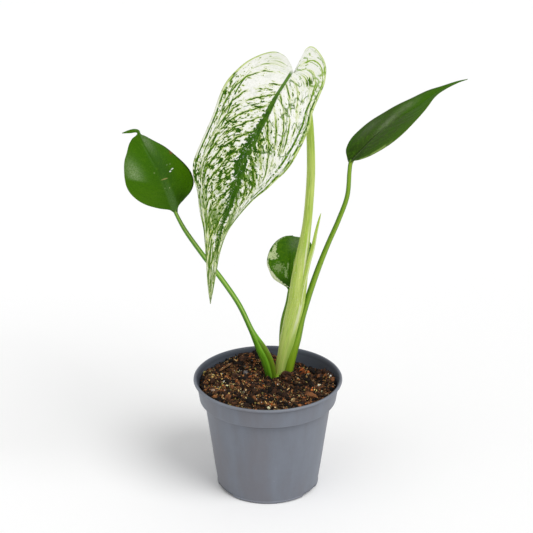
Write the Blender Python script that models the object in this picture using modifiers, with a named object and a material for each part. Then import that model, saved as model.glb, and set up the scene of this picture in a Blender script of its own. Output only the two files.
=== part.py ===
"""A young variegated monstera growing in a 12 cm grey nursery pot.

Each leaf, stalk and lump is a closed body of its own.  The pot stands on z = 0
with its axis on the world Z axis; the large leaf hangs towards -Y.
Lengths are in metres; MM turns a figure in millimetres into metres.
"""
import math
import bpy
import bmesh
import numpy as np
from mathutils import Euler, Vector

MM = 0.001
GAP = 0.3 * MM               # clearance kept between neighbouring pieces

# Pot: a 12 cm injection-moulded nursery pot with a stepped collar.
POT_HEIGHT = 94.0 * MM
RIM_RADIUS = 60.0 * MM
COLLAR_TOP_RADIUS = 57.3 * MM
COLLAR_FOOT_RADIUS = 55.2 * MM
COLLAR_FOOT_Z = 76.2 * MM
BODY_TOP_RADIUS = 51.3 * MM
BODY_FOOT_RADIUS = 41.3 * MM
WALL = 1.2 * MM
FLOOR_UNDER_Z = 2.2 * MM     # underside of the raised floor
FLOOR_TOP_Z = 3.4 * MM
PAD_RADIUS = 12.5 * MM       # central pad that also stands on the table
FOOT_HALF_ANGLE = 14.0       # degrees, three feet round the bottom ring
FOOT_RISE = 0.85 * MM        # ring between the feet is this much higher
NOTCH_RISE = 2.5 * MM        # drainage notches beside the feet
NOTCH_FROM, NOTCH_TO = 48.0, 74.0  # degrees on from the middle of each foot
DRAIN_HOLES = 6
POT_STEPS = 48
SOIL_STEPS = 42

SOIL_TOP_Z = 86.6 * MM
LEAF_THICKNESS = 0.8 * MM
LOBE_CURL = 0.012            # how the basal lobes bend back, radians per millimetre

# Stalk stations, lowest first: x, y, z, half width, half depth in millimetres.
STALKS = {
    "stem_crown": [
        (11, 17, 52, 2.5, 2.5), (11, 17, 56, 6, 6), (11, 16.5, 66, 8, 8),
        (10, 15, 76, 7, 6.5), (8.5, 13, 83, 4.0, 3.6), (8, 12, 88, 2.6, 2.4), (8, 11.5, 90, 1.2, 1.1)],
    "main_petiole": [
        (10, 18, 74, 4.2, 4.0), (9.5, 18, 84, 4.5, 4.2), (11, 17, 97, 4.6, 4.2),
        (13, 16, 108, 4.8, 4.4), (15.2, 15.5, 119, 5.6, 4.6), (20, 15, 140, 6.7, 4.9),
        (22.8, 14.5, 154, 6.8, 5.0), (25, 14, 173, 6.5, 4.8), (26.8, 14, 190, 5.3, 4.4),
        (30, 13.5, 214, 3.8, 3.8), (32, 13, 235, 3.4, 3.4), (33.4, 11.5, 265, 3.0, 3.0),
        (32.6, 8.5, 295, 2.8, 2.8), (31, 5.5, 316, 2.6, 2.6), (27.5, 1, 333, 2.5, 2.5),
        (24, -3.6, 343.9, 2.4, 2.4), (20.2, -7.9, 348.8, 1.9, 1.9)],
    "small_petiole": [
        (12, 23, 75, 2.0, 2.0), (12, 23, 92, 2.0, 2.0), (10.9, 23.4, 111, 1.8, 1.8),
        (11.4, 24, 126, 1.8, 1.8), (12.9, 24.3, 136, 1.8, 1.8),
        (15.7, 25, 147, 1.7, 1.7), (17.1, 25.6, 156, 1.5, 1.5), (17.2, 26, 160.8, 1.3, 1.1)],
    "left_petiole": [
        (4, 16, 76, 3.6, 3.6), (2.6, 15, 85.5, 4.0, 3.8), (1.4, 13.5, 93.5, 4.4, 4.0),
        (-1, 11.5, 103.5, 4.7, 3.9), (-4.5, 9.5, 113.5, 4.4, 3.6), (-8.2, 8, 123, 3.6, 3.1),
        (-13.5, 6.5, 134, 2.5, 2.4), (-23, 4, 156, 2.1, 2.1), (-36, 1, 178.5, 2.05, 2.05),
        (-50.2, -2, 200, 1.95, 1.95), (-63.4, -5, 221.5, 1.8, 1.8), (-71.8, -6.9, 240.6, 1.4, 1.2)],
    "right_petiole": [
        (14.5, 15, 76, 2.8, 3.2), (16.2, 15.5, 85.5, 3.1, 3.4), (18.3, 15.5, 98, 3.5, 3.6),
        (20.7, 15.8, 109, 3.6, 3.6), (23.5, 16.2, 119.5, 3.4, 3.4), (25.7, 16.8, 130, 3.1, 3.0),
        (28, 17.5, 140, 2.7, 2.8), (33.7, 19, 160, 2.5, 2.5), (40.5, 20.3, 181, 2.3, 2.3),
        (47.8, 21, 201, 2.05, 2.05), (56, 22.5, 221, 1.95, 1.95), (62.5, 24, 240.5, 1.85, 1.85),
        (64.2, 25, 260, 1.7, 1.7), (65.3, 25, 269.4, 1.4, 1.3)],
    "new_leaf_spear": [
        (26, 11, 150, 0.8, 0.8), (27, 10.8, 163, 1.7, 1.7), (29.5, 10.6, 176, 1.9, 1.8),
        (32.4, 10.6, 190, 1.8, 1.8), (35.5, 10.8, 202, 1.6, 1.6), (37.9, 11.2, 215, 1.2, 1.2),
        (40.1, 11.5, 225, 0.8, 0.8), (41.7, 12, 231, 0.35, 0.35)],
}

# Roots inside the potting mix, from the crown outwards: x, y, z, radius.
ROOTS = [
    [(11, 17, 66, 2.6), (26, 6, 52, 2.0), (34, -4, 30, 1.2), (30, -8, 12, 0.7)],
    [(11, 17, 64, 2.4), (-8, 22, 50, 1.8), (-24, 18, 28, 1.1), (-26, 8, 12, 0.7)],
    [(11, 17, 60, 2.4), (4, 2, 44, 1.8), (-4, -18, 24, 1.1), (-2, -26, 11, 0.7)],
    [(11, 17, 62, 2.2), (14, 33, 48, 1.6), (6, 34, 26, 1.0), (2, 28, 12, 0.7)],
]

# Leaf blades.  midrib: x, y, z from the base to the tip.  face: the way the
# upper side looks.  Each margin is a line of (distance along the midrib,
# distance from it) from the base notch round to the tip.  droop is the angle at
# which a half leaves the midrib and curl how much it turns per centimetre.
BLADES = {
    "main_leaf_blade": dict(
        midrib=[(19.1, -10, 351), (13.4, -17.5, 344), (6, -26, 335), (-2.7, -34.5, 323),
                (-12.5, -43, 308.5), (-19.5, -49, 295), (-25.2, -55, 276.5), (-32.2, -60, 256),
                (-37.3, -63, 236.5), (-41.2, -64, 212.5), (-43.4, -62, 185.5)],
        face=(0.10, -0.93, 0.36), droop=(10, 6), curl=(2.5, 2.0), notch=0.22,
        left=[(-1.5, 1.5), (-5.5, 5.5), (-9.5, 13), (-7.7, 22.5), (5.5, 33), (20, 37.5), (33, 39.5),
              (46, 38), (60, 34.8), (75, 33.7), (90, 34.5), (103, 30.8), (112, 24.8), (124, 18.9),
              (136, 12.4), (150, 8.2), (166, 4.8), (180, 2.8), (193.3, 0.3)],
        right=[(-1, 2), (-3.8, 3.4), (-8, 2.2), (-14.7, -0.2), (-22, -1.8), (-27.5, -0.9), (-31, 1.3),
               (-31.8, 5.8), (-28.7, 13), (-22.6, 19.1), (-11, 24.1), (-2, 25.8), (10.5, 27.6), (18, 29.5),
               (28, 32.4),
               (40, 33.5), (52, 34), (65, 34), (80, 32), (92, 26.6), (104, 17.6), (120, 10.2),
               (134, 5.5), (150, 3.4), (170, 2.6), (193.3, 0.3)]),
    "left_leaf_blade": dict(
        midrib=[(-71.9, -7, 241), (-77.2, -5, 256), (-84.5, -2, 271.5), (-92, 2, 284.5),
                (-99, 6, 296), (-103.5, 6.5, 299.5), (-109.5, 6, 299.8)],
        face=(0, -0.90, 0.42), droop=(4, 4), curl=(3, 3), notch=0.06,
        left=[(0, 0.5), (1, 4), (4.8, 12), (11, 20), (20, 25), (30, 27), (40.5, 24.8),
              (51, 19.5), (57, 13), (61, 6.5), (64, 2.4), (69, 1.6), (73, 1.3), (76, 0.3)],
        right=[(0, 0.5), (2, 4), (5.4, 9), (10, 16), (14.5, 20), (20.5, 21.5), (28, 20.5),
               (38, 17), (47, 13.2), (56, 7.6), (61, 4), (64, 2), (69, 1.4), (73, 1.1), (76, 0.3)]),
    "right_leaf_blade": dict(
        midrib=[(65.5, 25, 270), (76.5, 29.5, 281), (87.5, 33.5, 290.5), (101, 39, 299),
                (117, 45, 307.5), (132.5, 50, 317.5), (147.5, 53.5, 324), (157, 55, 326.7)],
        face=(-0.1, -0.15, 0.98), droop=(-8, -8), curl=(3, 3), notch=0.06,
        left=[(0, 0.5), (0, 6), (4, 13.5), (14, 17.7), (27, 18), (45, 15.5), (62, 14),
              (78, 10), (91, 4.5), (103, 2), (113.5, 0.3)],
        right=[(0, 0.5), (0.5, 5), (4, 9.5), (12, 16), (24, 22.5), (34, 24), (48, 22), (61, 16.5),
               (74, 9.5), (83, 5), (96, 2.4), (113.5, 0.3)]),
    "small_leaf_blade": dict(
        midrib=[(17.3, 26, 161.2), (17.6, 28.5, 175.5), (18.5, 31.5, 190), (20, 33.5, 203.4)],
        face=(0, -0.95, 0.30), droop=(6, 6), curl=(3, 3), notch=0.06,
        left=[(0, 0.5), (0.5, 3), (2.6, 6.5), (6.3, 12.8), (12.6, 16.6), (19.6, 18.2), (28.5, 16.6),
              (36.3, 12.2), (41.2, 6.6), (42.9, 0.3)],
        right=[(0, 0.5), (0.4, 3), (2.2, 6.2), (6.9, 11.6), (14.6, 16.3), (24.8, 18.2), (33.7, 16.8),
               (39.2, 12.2), (41.6, 6), (42.3, 0.3)]),
}

# Loose lumps on the soil: x, y, length, width, height in millimetres, turn in degrees.
BARK = [
    (27, 19, 9.0, 6.5, 9.0, 20), (15.5, 7.5, 9.0, 4.5, 6.0, -20), (34, -20, 15, 6.5, 3.0, -15),
    (-41, 25, 5.5, 4.5, 6.0, 10), (-31, -24, 7.0, 5.0, 4.0, 50), (43, 13, 6.0, 4.5, 4.0, 80),
    (-20, 38, 8.0, 6.0, 4.0, 30)]
PERLITE = [
    (41.5, -3, 3.0, 2.8, 2.8, 0), (46.6, 23.6, 3.6, 3.4, 3.2, 30), (-18, 18.5, 4.6, 4.2, 3.8, 15),
    (20, -29, 4.6, 2.8, 3.0, 60), (-44, -12.5, 3.2, 2.8, 2.8, 0), (-19.5, -37, 4.4, 3.2, 2.6, -20)]
STICK = [(-41, 19, 88.6, 0.5), (-35, 24.5, 90.2, 0.9), (-29, 31, 91.2, 0.4)]


def material(name, colour, roughness, metallic=0.0):
    """A Principled material of one colour (linear RGB)."""
    made = bpy.data.materials.new(name)
    made.use_nodes = True
    shader = made.node_tree.nodes["Principled BSDF"]
    shader.inputs["Base Color"].default_value = (*colour, 1.0)
    shader.inputs["Roughness"].default_value = roughness
    shader.inputs["Metallic"].default_value = metallic
    made.diffuse_color = (*colour, 1.0)
    return made


def smooth_line(stations, count):
    """Resample a line of stations evenly with a Catmull-Rom curve."""
    p = np.asarray(stations, float)
    p = np.vstack([2 * p[0] - p[1], p, 2 * p[-1] - p[-2]])
    t = np.linspace(0, 1, 24, endpoint=False)[:, None]
    runs = []
    for a, b, c, d in zip(p, p[1:], p[2:], p[3:]):
        runs.append(b + 0.5 * ((c - a) * t + (2 * a - 5 * b + 4 * c - d) * t ** 2
                               + (3 * b - 3 * c + d - a) * t ** 3))
    line = np.vstack(runs + [p[-2:-1]])
    length = np.r_[0, np.cumsum(np.linalg.norm(np.diff(line, axis=0), axis=1))]
    even = np.linspace(0, length[-1], count)
    return np.stack([np.interp(even, length, column) for column in line.T], axis=1)


def unit(v):
    return v / np.linalg.norm(v, axis=-1, keepdims=True)


def lumps(x, y, seed=0.0):
    """A smooth, repeatable unevenness between about -1 and 1."""
    return 0.5 * (np.sin(x * 0.21 + seed) * np.cos(y * 0.17 - seed)
                  + np.sin(x * 0.11 + y * 0.23 + 2.1 * seed))


def finish_object(name, bm, mat, home):
    """Turn a bmesh into a smooth-shaded object in its collection."""
    bmesh.ops.recalc_face_normals(bm, faces=bm.faces)
    mesh = bpy.data.meshes.new(name)
    bm.to_mesh(mesh)
    bm.free()
    mesh.shade_smooth()
    obj = bpy.data.objects.new(name, mesh)
    home.objects.link(obj)
    mesh.set_sharp_from_angle(angle=math.radians(40))
    if mat:
        mesh.materials.append(mat)
    return obj


def loft(bm, rings):
    """A closed skin over a row of rings with fan-shaped ends."""
    rows = [[bm.verts.new(point) for point in ring] for ring in rings]
    n = len(rows[0])
    for low, high in zip(rows, rows[1:]):
        for i in range(n):
            bm.faces.new((low[i], low[(i + 1) % n], high[(i + 1) % n], high[i]))
    bm.faces.new(rows[0][::-1])
    bm.faces.new(rows[-1])


def stalk(name, stations, mat, home, sides=12):
    """A stalk of elliptical section; its width lies across and its depth along Y."""
    height = stations[-1][2] - stations[0][2]
    line = smooth_line(stations, max(9, int(height / 9))) * MM
    run = unit(np.gradient(line[:, :3], axis=0))
    across = unit(np.cross(np.array([0.0, 1.0, 0.0]), run))
    depth = np.cross(run, across)
    turn = np.linspace(0, 2 * math.pi, sides, endpoint=False)
    rings = []
    for point, a, d in zip(line, across, depth):
        ring = point[:3] + np.outer(np.cos(turn), a) * point[3] + np.outer(np.sin(turn), d) * point[4]
        rings.append(ring)
    bm = bmesh.new()
    loft(bm, rings)
    return finish_object(name, bm, mat, home)


def blade_frame(midrib, face, distance):
    """Point, direction, across and face vectors at distances along the midrib."""
    line = smooth_line(midrib, 160)
    length = np.r_[0, np.cumsum(np.linalg.norm(np.diff(line, axis=0), axis=1))]
    along = np.clip(distance, 0, length[-1])

    def at(s):
        return np.stack([np.interp(np.clip(s, 0, length[-1]), length, c) for c in line.T], axis=-1)

    run = unit(at(along + 2.5) - at(along - 2.5))
    face = np.array(face)
    out = unit(face - (run @ face)[..., None] * run)
    return at(along), run, np.cross(out, run), out


def blade_points(spec, side, margin, rows, columns):
    """Grid of points of one half blade from the midrib out to its margin."""
    edge = smooth_line(spec[margin], rows)
    length = smooth_line(spec["midrib"], 160)
    length = np.linalg.norm(np.diff(length, axis=0), axis=1).sum()
    u = np.linspace(0, 1, rows)
    root = length * np.clip((u - spec["notch"]) / (1 - spec["notch"]), 0, 1) ** 1.05
    v = np.linspace(0, 1, columns + 1)[None, :]
    along = root[:, None] + (edge[:, :1] - root[:, None]) * v
    width = edge[:, 1:] * v
    point, run, across, out = blade_frame(spec["midrib"], spec["face"], along)
    turn = LOBE_CURL * np.minimum(along, 0)[..., None]
    point = point + (np.sin(turn) * run + (np.cos(turn) - 1) * out) / LOBE_CURL
    k = 0 if side < 0 else 1
    tilt = math.radians(spec["droop"][k])
    curl = math.radians(spec["curl"][k]) / 10
    sideways = (np.sin(tilt + curl * width) - math.sin(tilt)) / curl
    down = (math.cos(tilt) - np.cos(tilt + curl * width)) / curl
    return (point + side * sideways[..., None] * across - down[..., None] * out) * MM


def blade(name, spec, mat, home, rows, columns):
    """A leaf blade: both halves as an open sheet, thickened."""
    hanging = spec["midrib"][0][2] > spec["midrib"][-1][2]
    bm = bmesh.new()
    for margin in ("left", "right"):
        side = (-1 if margin == "left" else 1) * (1 if hanging else -1)
        points = blade_points(spec, side, margin, rows, columns)
        grid = [[bm.verts.new(p) for p in line] for line in points]
        for a, b in zip(grid, grid[1:]):
            for i in range(columns):
                quad = (a[i], a[i + 1], b[i + 1], b[i])
                bm.faces.new(quad if side > 0 else quad[::-1])
    bmesh.ops.remove_doubles(bm, verts=bm.verts, dist=0.05 * MM)
    obj = finish_object(name, bm, mat, home)
    skin = obj.modifiers.new("Thickness", "SOLIDIFY")
    skin.thickness = LEAF_THICKNESS
    skin.offset = 0.0
    skin.use_even_offset = False
    return obj


def turned(name, profile, mat, home, steps):
    """A profile of (radius, height) points turned about Z."""
    mesh = bpy.data.meshes.new(name)
    n = len(profile)
    mesh.from_pydata([(r, 0, z) for r, z in profile], [(i, i + 1) for i in range(n - 1)], [])
    obj = bpy.data.objects.new(name, mesh)
    home.objects.link(obj)
    screw = obj.modifiers.new("Turn", "SCREW")
    screw.steps = screw.render_steps = steps
    screw.use_merge_vertices = True
    screw.merge_threshold = 0.00005
    screw.use_smooth_shade = True
    if mat:
        mesh.materials.append(mat)
    return obj


def lump(name, x, y, size, turn, seed, mat, home):
    """An uneven pebble or chip, half sunk in the surface of the mix."""
    bm = bmesh.new()
    bmesh.ops.create_icosphere(bm, subdivisions=2, radius=1.0)
    half = Vector(size) * 0.5
    rotation = Euler((0.25 * math.sin(seed), 0.3 * math.cos(2 * seed), math.radians(turn)))
    base = Vector((x, y, soil_height(x, y) + 0.22 * size[2]))
    for v in bm.verts:
        p = v.co
        swell = 1 + 0.14 * math.sin(3.1 * p.x + seed) * math.cos(2.7 * p.y - seed) + 0.08 * math.sin(5 * p.z)
        shaped = Vector((p.x * half.x, p.y * half.y, p.z * half.z)) * swell
        shaped.rotate(rotation)
        v.co = (base + shaped) * MM
    return finish_object(name, bm, mat, home)


def soil_height(x, y):
    """Height of the mix in millimetres: banked up behind and before the stems, low at the back right."""
    bank = 5.0 * math.exp(-((x + 14) / 26) ** 2 - ((y - 44) / 17) ** 2)
    mound = 2.0 * math.exp(-((x + 46) / 14) ** 2 - ((y - 8) / 18) ** 2)
    heap = 3.5 * math.exp(-((x - 20) / 9) ** 2 - ((y - 8) / 8) ** 2)
    hollow = 3.5 * math.exp(-((x - 36) / 20) ** 2 - ((y - 32) / 18) ** 2)
    return SOIL_TOP_Z / MM + bank + mound + heap - hollow + 0.6 * float(lumps(x, y, 0.6))


def pot(mat, home, cutters):
    """The pot: turned wall and floor, with feet, notches and drain holes."""
    pad, foot, top = PAD_RADIUS / MM, BODY_FOOT_RADIUS / MM, BODY_TOP_RADIUS / MM
    low, high, rim = COLLAR_FOOT_RADIUS / MM, COLLAR_TOP_RADIUS / MM, RIM_RADIUS / MM
    step, lip, wall = COLLAR_FOOT_Z / MM, POT_HEIGHT / MM, WALL / MM
    under, floor = FLOOR_UNDER_Z / MM, FLOOR_TOP_Z / MM
    inside = [
        (0, wall), (pad + wall + 0.2, wall), (pad + wall + 0.6, floor), (foot - wall - 0.3, floor),
        (foot - wall + 0.2, floor + 1.4), (top - wall - 0.05, step - 1.0), (top - wall + 0.2, step + 0.6),
        (low - wall - 0.3, step + 1.8), (high - wall - 0.1, lip - 3.6), (high - 0.3, lip - 1.8)]
    rolled_lip = [
        (high + 0.3, lip - 0.5), (rim - 1.7, lip), (rim - 0.7, lip - 0.2), (rim, lip - 0.9), (rim, lip - 1.7),
        (rim - 0.8, lip - 2.2), (high + 0.7, lip - 2.5), (high + 0.1, lip - 3.2)]
    outside = [
        (high, lip - 4.2), (low, step + 0.5), (low - 0.4, step), (top + 0.5, step - 0.2), (top, step - 0.8),
        (foot, under), (foot - 0.2, 0.9), (foot - 0.9, 0.0), (foot - 2.7, 0.0), (foot - 3.1, under),
        (pad + 0.4, under), (pad, 0.0), (0, 0)]
    profile = (inside + rolled_lip + outside)[::-1]
    body = turned("pot", [(r * MM, z * MM) for r, z in profile], mat, home, POT_STEPS)

    def wedge(name, start, stop, height):
        """A sector below the bottom ring, from one angle to another."""
        bm = bmesh.new()
        rings = []
        for angle in np.radians(np.linspace(start, stop, 7)):
            c, s = math.cos(angle), math.sin(angle)
            rings.append([(r * c, r * s, z) for r, z in (
                (37 * MM, -2 * MM), (43 * MM, -2 * MM), (43 * MM, height), (37 * MM, height))])
        loft(bm, rings)
        return finish_object(name, bm, None, cutters)

    cuts = []
    for i in range(3):
        middle = -93.5 + 120 * i
        cuts.append(wedge(f"cut_ring_{i}", middle + FOOT_HALF_ANGLE, middle + 120 - FOOT_HALF_ANGLE, FOOT_RISE))
        cuts.append(wedge(f"cut_notch_{i}", middle + NOTCH_FROM, middle + NOTCH_TO, NOTCH_RISE))
    for i in range(DRAIN_HOLES):
        bpy.ops.mesh.primitive_cylinder_add(vertices=16, radius=4 * MM, depth=12 * MM)
        hole = bpy.context.object
        hole.name = f"cut_drain_{i}"
        angle = math.radians(60 * i + 30)
        hole.location = (27 * MM * math.cos(angle), 27 * MM * math.sin(angle), 2 * MM)
        for other in list(hole.users_collection):
            other.objects.unlink(hole)
        cutters.objects.link(hole)
        cuts.append(hole)
    for cutter in cuts:
        subtract(body, cutter)
    return body


def potting_mix(mat, home):
    """The mix fills the pot up to an uneven top, a hair clear of the wall."""
    clear = GAP / MM
    foot, brim, collar = (r / MM - WALL / MM for r in (BODY_FOOT_RADIUS, BODY_TOP_RADIUS, COLLAR_FOOT_RADIUS))
    floor, step = FLOOR_TOP_Z / MM, COLLAR_FOOT_Z / MM
    wall = [(foot - 0.7, floor + clear), (foot - 0.2 - clear, floor + 1.6), (brim - 0.2 - clear, step - 0.9),
            (brim - clear, step + 0.9 + clear), (collar - 0.6 - clear, step + 2.1 + clear)]
    top = [(collar - 0.3 - clear, 0.97), (50, 1), (42, 1), (33, 1), (24, 1), (15, 1), (7, 1)]
    bm = bmesh.new()
    rings = []
    for radius, z in wall:
        rings.append([(radius * math.cos(a), radius * math.sin(a), z)
                      for a in np.linspace(0, 2 * math.pi, SOIL_STEPS, endpoint=False)])
    for radius, share in top:
        ring = []
        for a in np.linspace(0, 2 * math.pi, SOIL_STEPS, endpoint=False):
            x, y = radius * math.cos(a), radius * math.sin(a)
            ring.append((x, y, soil_height(x, y) * share))
        rings.append(ring)
    rings = [[Vector(p) * MM for p in ring] for ring in rings]
    loft(bm, rings)
    caps = [face for face in bm.faces if len(face.verts) > 4]
    bmesh.ops.poke(bm, faces=caps)
    return finish_object("potting_mix", bm, mat, home)


def subtract(target, cutter):
    """Cut one object out of another with a live Boolean modifier."""
    cutter.hide_render = True
    cutter.display_type = "WIRE"
    cut = target.modifiers.new(f"Less {cutter.name}", "BOOLEAN")
    cut.operation = "DIFFERENCE"
    cut.object = cutter
    return cut


def grown(source, cutters, by=GAP):
    """A slightly larger copy of a plain mesh object, kept as a cutter."""
    copy = bpy.data.objects.new(f"cut_{source.name}", source.data.copy())
    cutters.objects.link(copy)
    swell = copy.modifiers.new("Clearance", "DISPLACE")
    swell.strength = by
    swell.mid_level = 0.0
    return copy


def rooted_crown(mat, home):
    """The short buried stem with its thick roots, joined into one body."""
    crown = stalk("stem_crown", STALKS["stem_crown"], mat, home)
    for i, root in enumerate(ROOTS):
        stations = [(x, y, z, r, r) for x, y, z, r in root][::-1]
        piece = stalk(f"root_{i}", stations, mat, home, sides=8)
        join = crown.modifiers.new(f"Root {i}", "BOOLEAN")
        join.operation = "UNION"
        join.object = piece
        bpy.context.view_layer.update()
        evaluated = crown.evaluated_get(bpy.context.evaluated_depsgraph_get())
        mesh = bpy.data.meshes.new_from_object(evaluated)
        crown.modifiers.clear()
        crown.data = mesh
        bpy.data.objects.remove(piece)
    return crown


def build():
    for old in list(bpy.data.objects):
        bpy.data.objects.remove(old)
    plant = bpy.data.collections.new("Potted monstera")
    cutters = bpy.data.collections.new("Cutters")
    for group in (plant, cutters):
        bpy.context.scene.collection.children.link(group)

    plastic = material("Grey plastic", (0.17, 0.19, 0.22), 0.5)
    mix = material("Potting mix", (0.075, 0.045, 0.022), 0.95)
    stem = material("Pale stem", (0.40, 0.52, 0.12), 0.45)
    green_stem = material("Green stem", (0.16, 0.34, 0.04), 0.42)
    variegated = material("Variegated leaf", (0.62, 0.72, 0.50), 0.4)
    green_leaf = material("Green leaf", (0.06, 0.15, 0.02), 0.35)
    bark = material("Bark", (0.24, 0.11, 0.04), 0.85)
    perlite = material("Perlite", (0.70, 0.68, 0.60), 0.9)

    pot(plastic, plant, cutters)
    soil = potting_mix(mix, plant)
    crown = rooted_crown(green_stem, plant)
    stalks = {}
    for name, stations in STALKS.items():
        if name != "stem_crown":
            pale = name in ("main_petiole", "new_leaf_spear")
            stalks[name] = stalk(name, stations, stem if pale else green_stem, plant)
    for name, spec in BLADES.items():
        large = name == "main_leaf_blade"
        blade(name, spec, variegated if large else green_leaf, plant,
              rows=40 if large else 22, columns=5 if large else 4)

    # Inner pieces are cut, with their clearance, out of the ones that wrap them.
    room = {obj.name: grown(obj, cutters) for obj in [crown, *stalks.values()]}
    wraps = {
        "main_petiole": ("stem_crown", "new_leaf_spear"),
        "small_petiole": ("stem_crown", "main_petiole"),
        "left_petiole": ("stem_crown", "main_petiole"),
        "right_petiole": ("stem_crown", "main_petiole", "new_leaf_spear"),
    }
    for name, inner in wraps.items():
        for other in inner:
            subtract(stalks[name], room[other])

    buried = [room[name] for name in
              ("stem_crown", "main_petiole", "small_petiole", "left_petiole", "right_petiole")]
    for i, (x, y, length, width, height, turn) in enumerate(BARK):
        chip = lump(f"bark_{i + 1}", x, y, (length, width, height), turn, 1.7 * i + 0.4, bark, plant)
        buried.append(grown(chip, cutters))
    for i, (x, y, length, width, height, turn) in enumerate(PERLITE):
        grain = lump(f"perlite_{i + 1}", x, y, (length, width, height), turn, 2.3 * i + 1, perlite, plant)
        buried.append(grown(grain, cutters))
    stick = stalk("stick", [(x, y, z, r, r) for x, y, z, r in STICK], bark, plant, sides=8)
    buried.append(grown(stick, cutters))
    for cutter in buried:
        subtract(soil, cutter)


build()
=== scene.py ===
"""A young variegated monstera in a grey nursery pot, dressed over its CAD frame."""
import math
import bmesh
import bpy
import numpy as np
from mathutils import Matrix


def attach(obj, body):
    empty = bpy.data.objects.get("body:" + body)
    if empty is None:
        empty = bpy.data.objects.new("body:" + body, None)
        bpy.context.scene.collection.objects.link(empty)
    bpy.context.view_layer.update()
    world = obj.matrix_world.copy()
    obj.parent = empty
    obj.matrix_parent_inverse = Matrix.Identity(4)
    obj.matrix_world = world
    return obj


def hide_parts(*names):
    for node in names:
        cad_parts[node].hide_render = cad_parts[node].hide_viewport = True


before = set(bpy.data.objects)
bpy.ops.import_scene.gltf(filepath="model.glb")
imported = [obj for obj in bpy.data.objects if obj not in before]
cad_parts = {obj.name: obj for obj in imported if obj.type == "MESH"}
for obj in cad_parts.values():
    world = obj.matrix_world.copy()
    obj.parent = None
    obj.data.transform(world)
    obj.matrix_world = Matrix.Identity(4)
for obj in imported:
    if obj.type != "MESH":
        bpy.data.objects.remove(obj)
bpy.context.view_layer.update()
MM = 0.001

# --- Studio ---------------------------------------------------------------
# A white sweep under soft light from all round, a large key light high on the
# right and a weaker one on the left, and the camera looking down on the pot.

scene = bpy.context.scene
scene.view_settings.view_transform = "Standard"

bpy.ops.mesh.primitive_grid_add(x_subdivisions=2, y_subdivisions=2, size=8, location=(0, 1.5, 0))
studio_floor = bpy.context.object
studio_floor.name = "studio_floor"
floor_paint = bpy.data.materials.new("Floor white")
floor_paint.use_nodes = True
floor_shader = floor_paint.node_tree.nodes["Principled BSDF"].inputs
floor_shader["Base Color"].default_value = (0.97, 0.97, 0.97, 1)
floor_shader["Roughness"].default_value = 0.9
floor_shader["Specular IOR Level"].default_value = 0.0
studio_floor.data.materials.append(floor_paint)

world = bpy.data.worlds.new("Studio air")
scene.world = world
world.use_nodes = True
air = world.node_tree.nodes["Background"].inputs
air["Color"].default_value = (1, 1, 1, 1)
air["Strength"].default_value = 0.50


def soft_light(name, toward, strength, spread):
    """A broad, even light that comes from that direction; spread is its width in degrees."""
    lamp = bpy.data.lights.new(name, "SUN")
    lamp.energy = strength
    lamp.angle = math.radians(spread)
    bank = bpy.data.objects.new(name, lamp)
    scene.collection.objects.link(bank)
    flat = math.hypot(toward[0], toward[1])
    bank.rotation_euler = (math.atan2(flat, toward[2]), 0, math.atan2(toward[0], -toward[1]))


soft_light("key_light", (0.60, -0.55, 1.00), 1.80, 36)
soft_light("fill_light", (-0.60, -0.55, 0.90), 0.40, 50)

LOOK_DOWN = 22.68
lens = bpy.data.cameras.new("camera")
camera = bpy.data.objects.new("camera", lens)
scene.collection.objects.link(camera)
camera.location = (-0.00107, -1.30, 0.7336)
camera.rotation_euler = (math.radians(90 - LOOK_DOWN), 0, 0)
lens.sensor_width = 36
lens.lens = 121.1
scene.camera = camera

# --- Pot ------------------------------------------------------------------
# One injection-moulded polypropylene shell: a rolled lip, a stepped collar, a
# tapering wall, and a raised floor with drain holes on a ring cut into feet
# and drainage notches.  The plastic is slate grey, matt, with flow streaks.


def grid_faces(rows, columns, wrap=False, start=0):
    """Quads over a grid of vertices numbered row by row; wrap joins the last column to the first."""
    r, c = np.meshgrid(np.arange(rows - 1), np.arange(columns if wrap else columns - 1), indexing="ij")
    n = (c + 1) % columns
    return start + np.stack([r * columns + c, r * columns + n, (r + 1) * columns + n, (r + 1) * columns + c],
                            axis=-1).reshape(-1, 4)


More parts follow.
